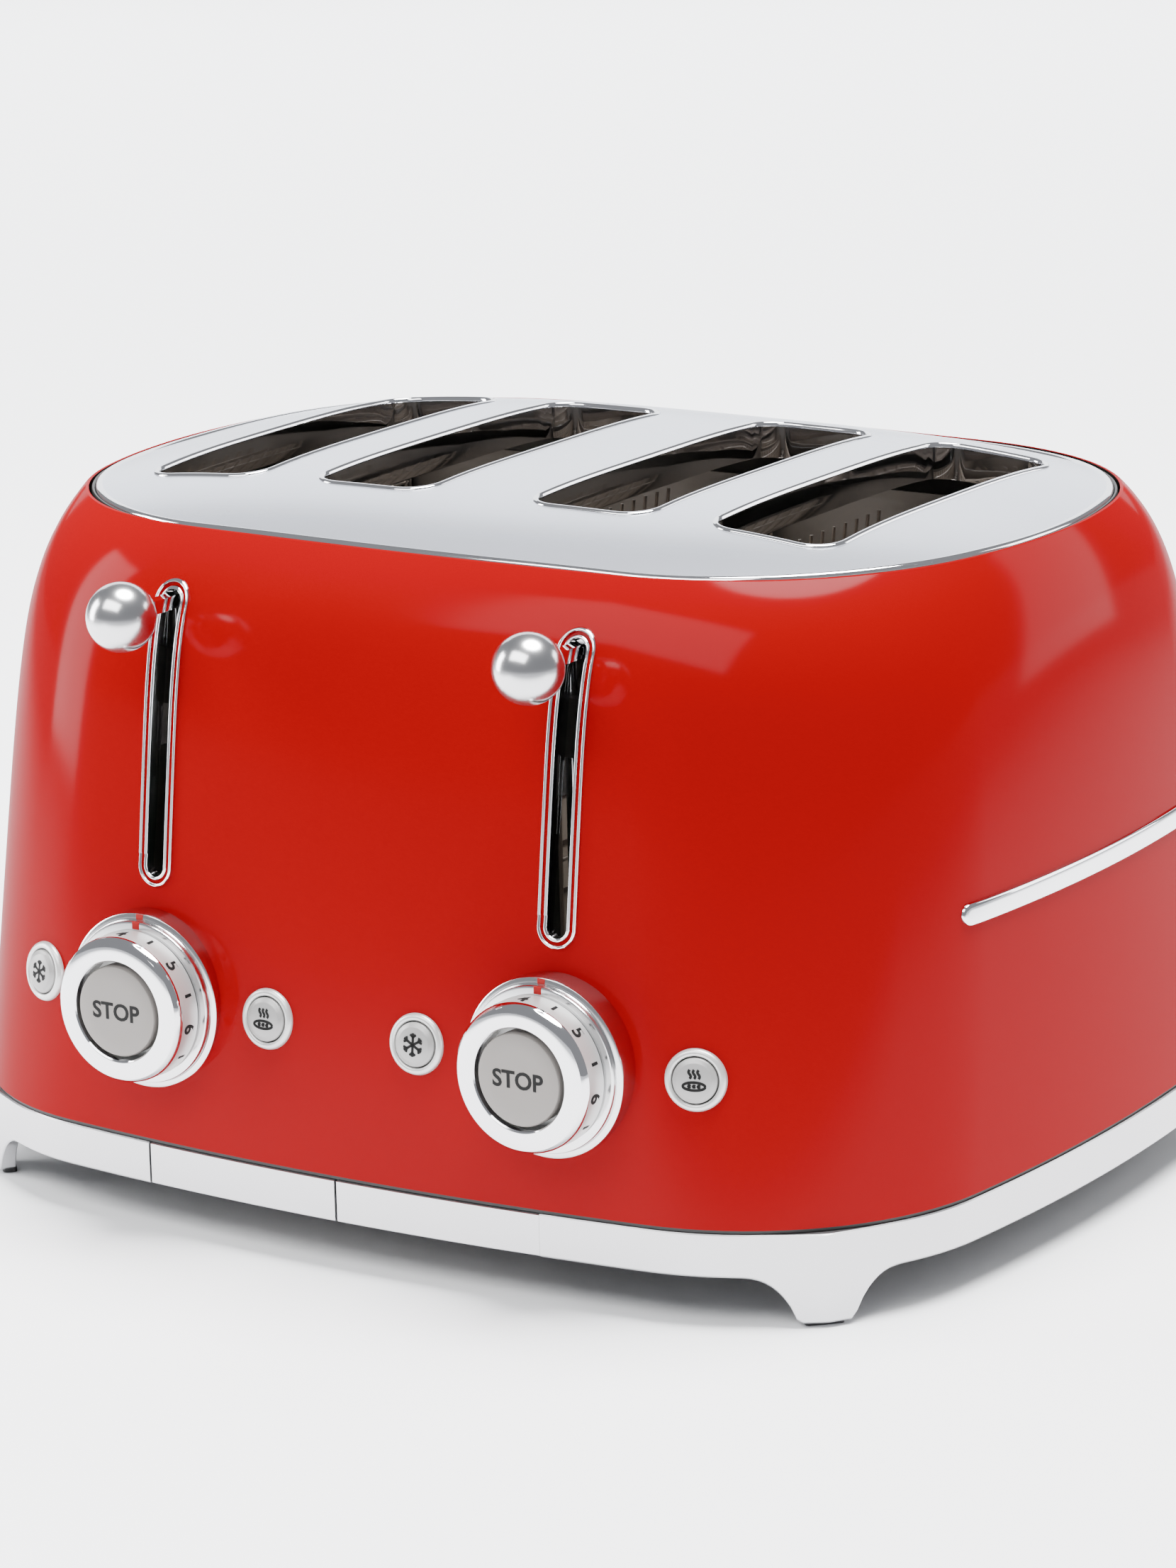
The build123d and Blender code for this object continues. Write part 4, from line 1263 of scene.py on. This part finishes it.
@dataclass
class Studio:
    """Floor with a painted pool of light and painted grey shade round it, soft lights and the camera."""

    target: tuple[float, float, float] = (0.0, 0.005, 0.110)
    azimuth: float = 32.70
    elevation: float = 14.58
    distance: float = 1.824
    roll: float = -1.256
    focal: float = 8240.0
    centre: tuple[float, float] = (27.2, 16.5)
    frame_height: float = 2212.0
    sensor: float = 36.0
    floor_half: float = 6000.0
    # Painted pool of light on the floor: where its fall-off into painted grey shade begins and ends.
    painted_pool_front: tuple[float, float] = (0.42, 0.95)       # metres where the fall-off begins and ends
    painted_pool_side: tuple[float, float] = (0.50, 1.30)
    painted_pool_light: tuple[float, float, float] = (0.92, 0.925, 0.94)
    painted_shade_grey: tuple[float, float, float] = (0.20, 0.205, 0.215)
    sky: tuple[float, float, float] = (0.93, 0.95, 1.0)
    sky_strength: float = 0.35
    sun: tuple[float, float] = (13.0, 38.0)              # strength, angle in degrees
    sun_tilt: tuple[float, float] = (-9.0, 6.0)          # degrees about X and Y

    def camera(self) -> None:
        """Camera looking back and down at the front right corner."""
        az, el = math.radians(self.azimuth), math.radians(self.elevation)
        back = Vector((math.sin(az) * math.cos(el), -math.cos(az) * math.cos(el), math.sin(el)))
        right = Vector((math.cos(az), math.sin(az), 0.0))
        up = back.cross(right)
        c, s = math.cos(math.radians(self.roll)), math.sin(math.radians(self.roll))
        r2, u2 = right * c + up * s, up * c - right * s
        data = bpy.data.cameras.new("camera")
        data.sensor_fit, data.sensor_height = "VERTICAL", self.sensor
        data.lens = self.focal / self.frame_height * self.sensor
        data.shift_x, data.shift_y = -self.centre[0] / self.frame_height, self.centre[1] / self.frame_height
        data.clip_start, data.clip_end = 0.05, 60.0
        cam = bpy.data.objects.new("camera", data)
        place = Matrix((r2, u2, back)).transposed().to_4x4()
        place.translation = Vector(self.target) + back * self.distance
        cam.matrix_world = place
        bpy.context.scene.collection.objects.link(cam)
        bpy.context.scene.camera = cam

    def floor_material(self) -> bpy.types.Material:
        """Matt floor with a painted pool of light: pale round the toaster and behind it, falling off to painted shade,
        grey, outside.

        Two smooth steps are joined by their maximum. One is on the distance in front of the toaster
        along the camera's azimuth, the other on the distance to either side of that line. This isn't
        a plain floor: the painted shade darkens the floor that the enamel reflects, and so keeps the enamel's colour
        from washing out in the main view.

        Returns:
            The material.
        """
        mat = FLOOR.material()
        nodes, links = mat.node_tree.nodes, mat.node_tree.links
        where = nodes.new("ShaderNodeTexCoord").outputs["Object"]
        az = math.radians(self.azimuth)
        # Mask of the painted shade: 0 inside the painted pool of light, 1 in the grey outside it.
        painted_shade_mask = nodes.new("ShaderNodeMath")
        painted_shade_mask.operation = "MAXIMUM"
        for k, (axis, both_ways, reach) in enumerate((((math.sin(az), -math.cos(az), 0.0), False, self.painted_pool_front),
                                                      ((math.cos(az), math.sin(az), 0.0), True, self.painted_pool_side))):
            dot = nodes.new("ShaderNodeVectorMath")
            dot.operation, dot.inputs[1].default_value = "DOT_PRODUCT", axis
            links.new(where, dot.inputs[0])
            far = dot.outputs["Value"]
            if both_ways:
                size = nodes.new("ShaderNodeMath")
                size.operation = "ABSOLUTE"
                links.new(far, size.inputs[0])
                far = size.outputs[0]
            step = nodes.new("ShaderNodeMapRange")
            step.interpolation_type = "SMOOTHSTEP"
            step.inputs["From Min"].default_value, step.inputs["From Max"].default_value = reach
            links.new(far, step.inputs["Value"])
            links.new(step.outputs["Result"], painted_shade_mask.inputs[k])
        # Painted pool of light near the toaster, painted grey shade away from it.
        mix = nodes["Principled BSDF"].inputs["Base Color"].links[0].from_node
        mix.inputs["A"].default_value = (*self.painted_pool_light, 1.0)
        mix.inputs["B"].default_value = (*self.painted_shade_grey, 1.0)
        links.new(painted_shade_mask.outputs[0], mix.inputs["Factor"])
        return mat

    def area(self, name: str, at: Sequence[float], size: tuple[float, float], power: float,
             color: tuple[float, float, float] = (1, 1, 1)) -> None:
        """Rectangular soft light aimed at the toaster.

        Args:
            name: the light's name.
            at: where it stands, in metres.
            size: width and height in metres.
            power: watts.
            color: its colour.
        """
        data = bpy.data.lights.new(name, "AREA")
        data.shape, data.size, data.size_y = "RECTANGLE", size[0], size[1]
        data.energy, data.color = power, color
        lamp = bpy.data.objects.new(name, data)
        turn = (Vector(at) - Vector(self.target)).to_track_quat("Z", "Y")
        lamp.matrix_world = Matrix.Translation(at) @ turn.to_matrix().to_4x4()
        bpy.context.scene.collection.objects.link(lamp)

    def make(self) -> None:
        """Floor, lights, surroundings and camera."""
        edge = np.linspace(-self.floor_half, self.floor_half, 13)
        gx, gy = np.meshgrid(edge, edge)
        floor = build("floor", [(np.stack([gx, gy, np.full_like(gx, -0.02)], -1),
                                 grid_faces(len(edge), len(edge), False, False))])
        floor.data.materials.append(self.floor_material())
        world = bpy.data.worlds.new("surroundings")
        world.use_nodes = True
        world.node_tree.nodes["Background"].inputs["Color"].default_value = (*self.sky, 1.0)
        world.node_tree.nodes["Background"].inputs["Strength"].default_value = self.sky_strength
        bpy.context.scene.world = world
        sun = bpy.data.lights.new("sky_panel", "SUN")
        sun.energy, sun.angle = self.sun[0], math.radians(self.sun[1])
        lamp = bpy.data.objects.new("sky_panel", sun)
        about_x, about_y = (Matrix.Rotation(math.radians(t), 4, axis) for t, axis in zip(self.sun_tilt, "XY"))
        lamp.matrix_world = about_x @ about_y
        bpy.context.scene.collection.objects.link(lamp)
        self.area("rear_panel", (-1.5, 2.6, 1.05), (3.4, 1.6), 52.0, (0.93, 0.96, 1.0))
        self.area("front_bank", (-0.2, -1.7, 1.9), (2.2, 1.1), 62.0)
        self.area("left_strip", (-1.15, -0.45, 0.42), (0.42, 0.8), 16.0)
        self.area("right_rear", (0.85, 1.05, 0.45), (0.5, 0.8), 7.0)
        self.camera()


def main() -> None:
    """Build every sub-assembly in order and report it."""
    logging.basicConfig(level=logging.INFO, format="%(name)s %(message)s")
    case = Case()
    case.shell()
    TopPlate().make()
    Base().make()
    for side in Side:
        lever = Lever(side)
        lever.frame()
        lever.ball()
        Dial(side).make()
        Trim().make(side)
        BreadGuides().make(side)
    for name, x in case.button_xs().items():
        SideButton(name, x, Sign.SNOW if name.startswith("defrost") else Sign.BAGEL).make()
    CarriedOver().make()
    Studio().make()


if __name__ == "__main__":
    main()
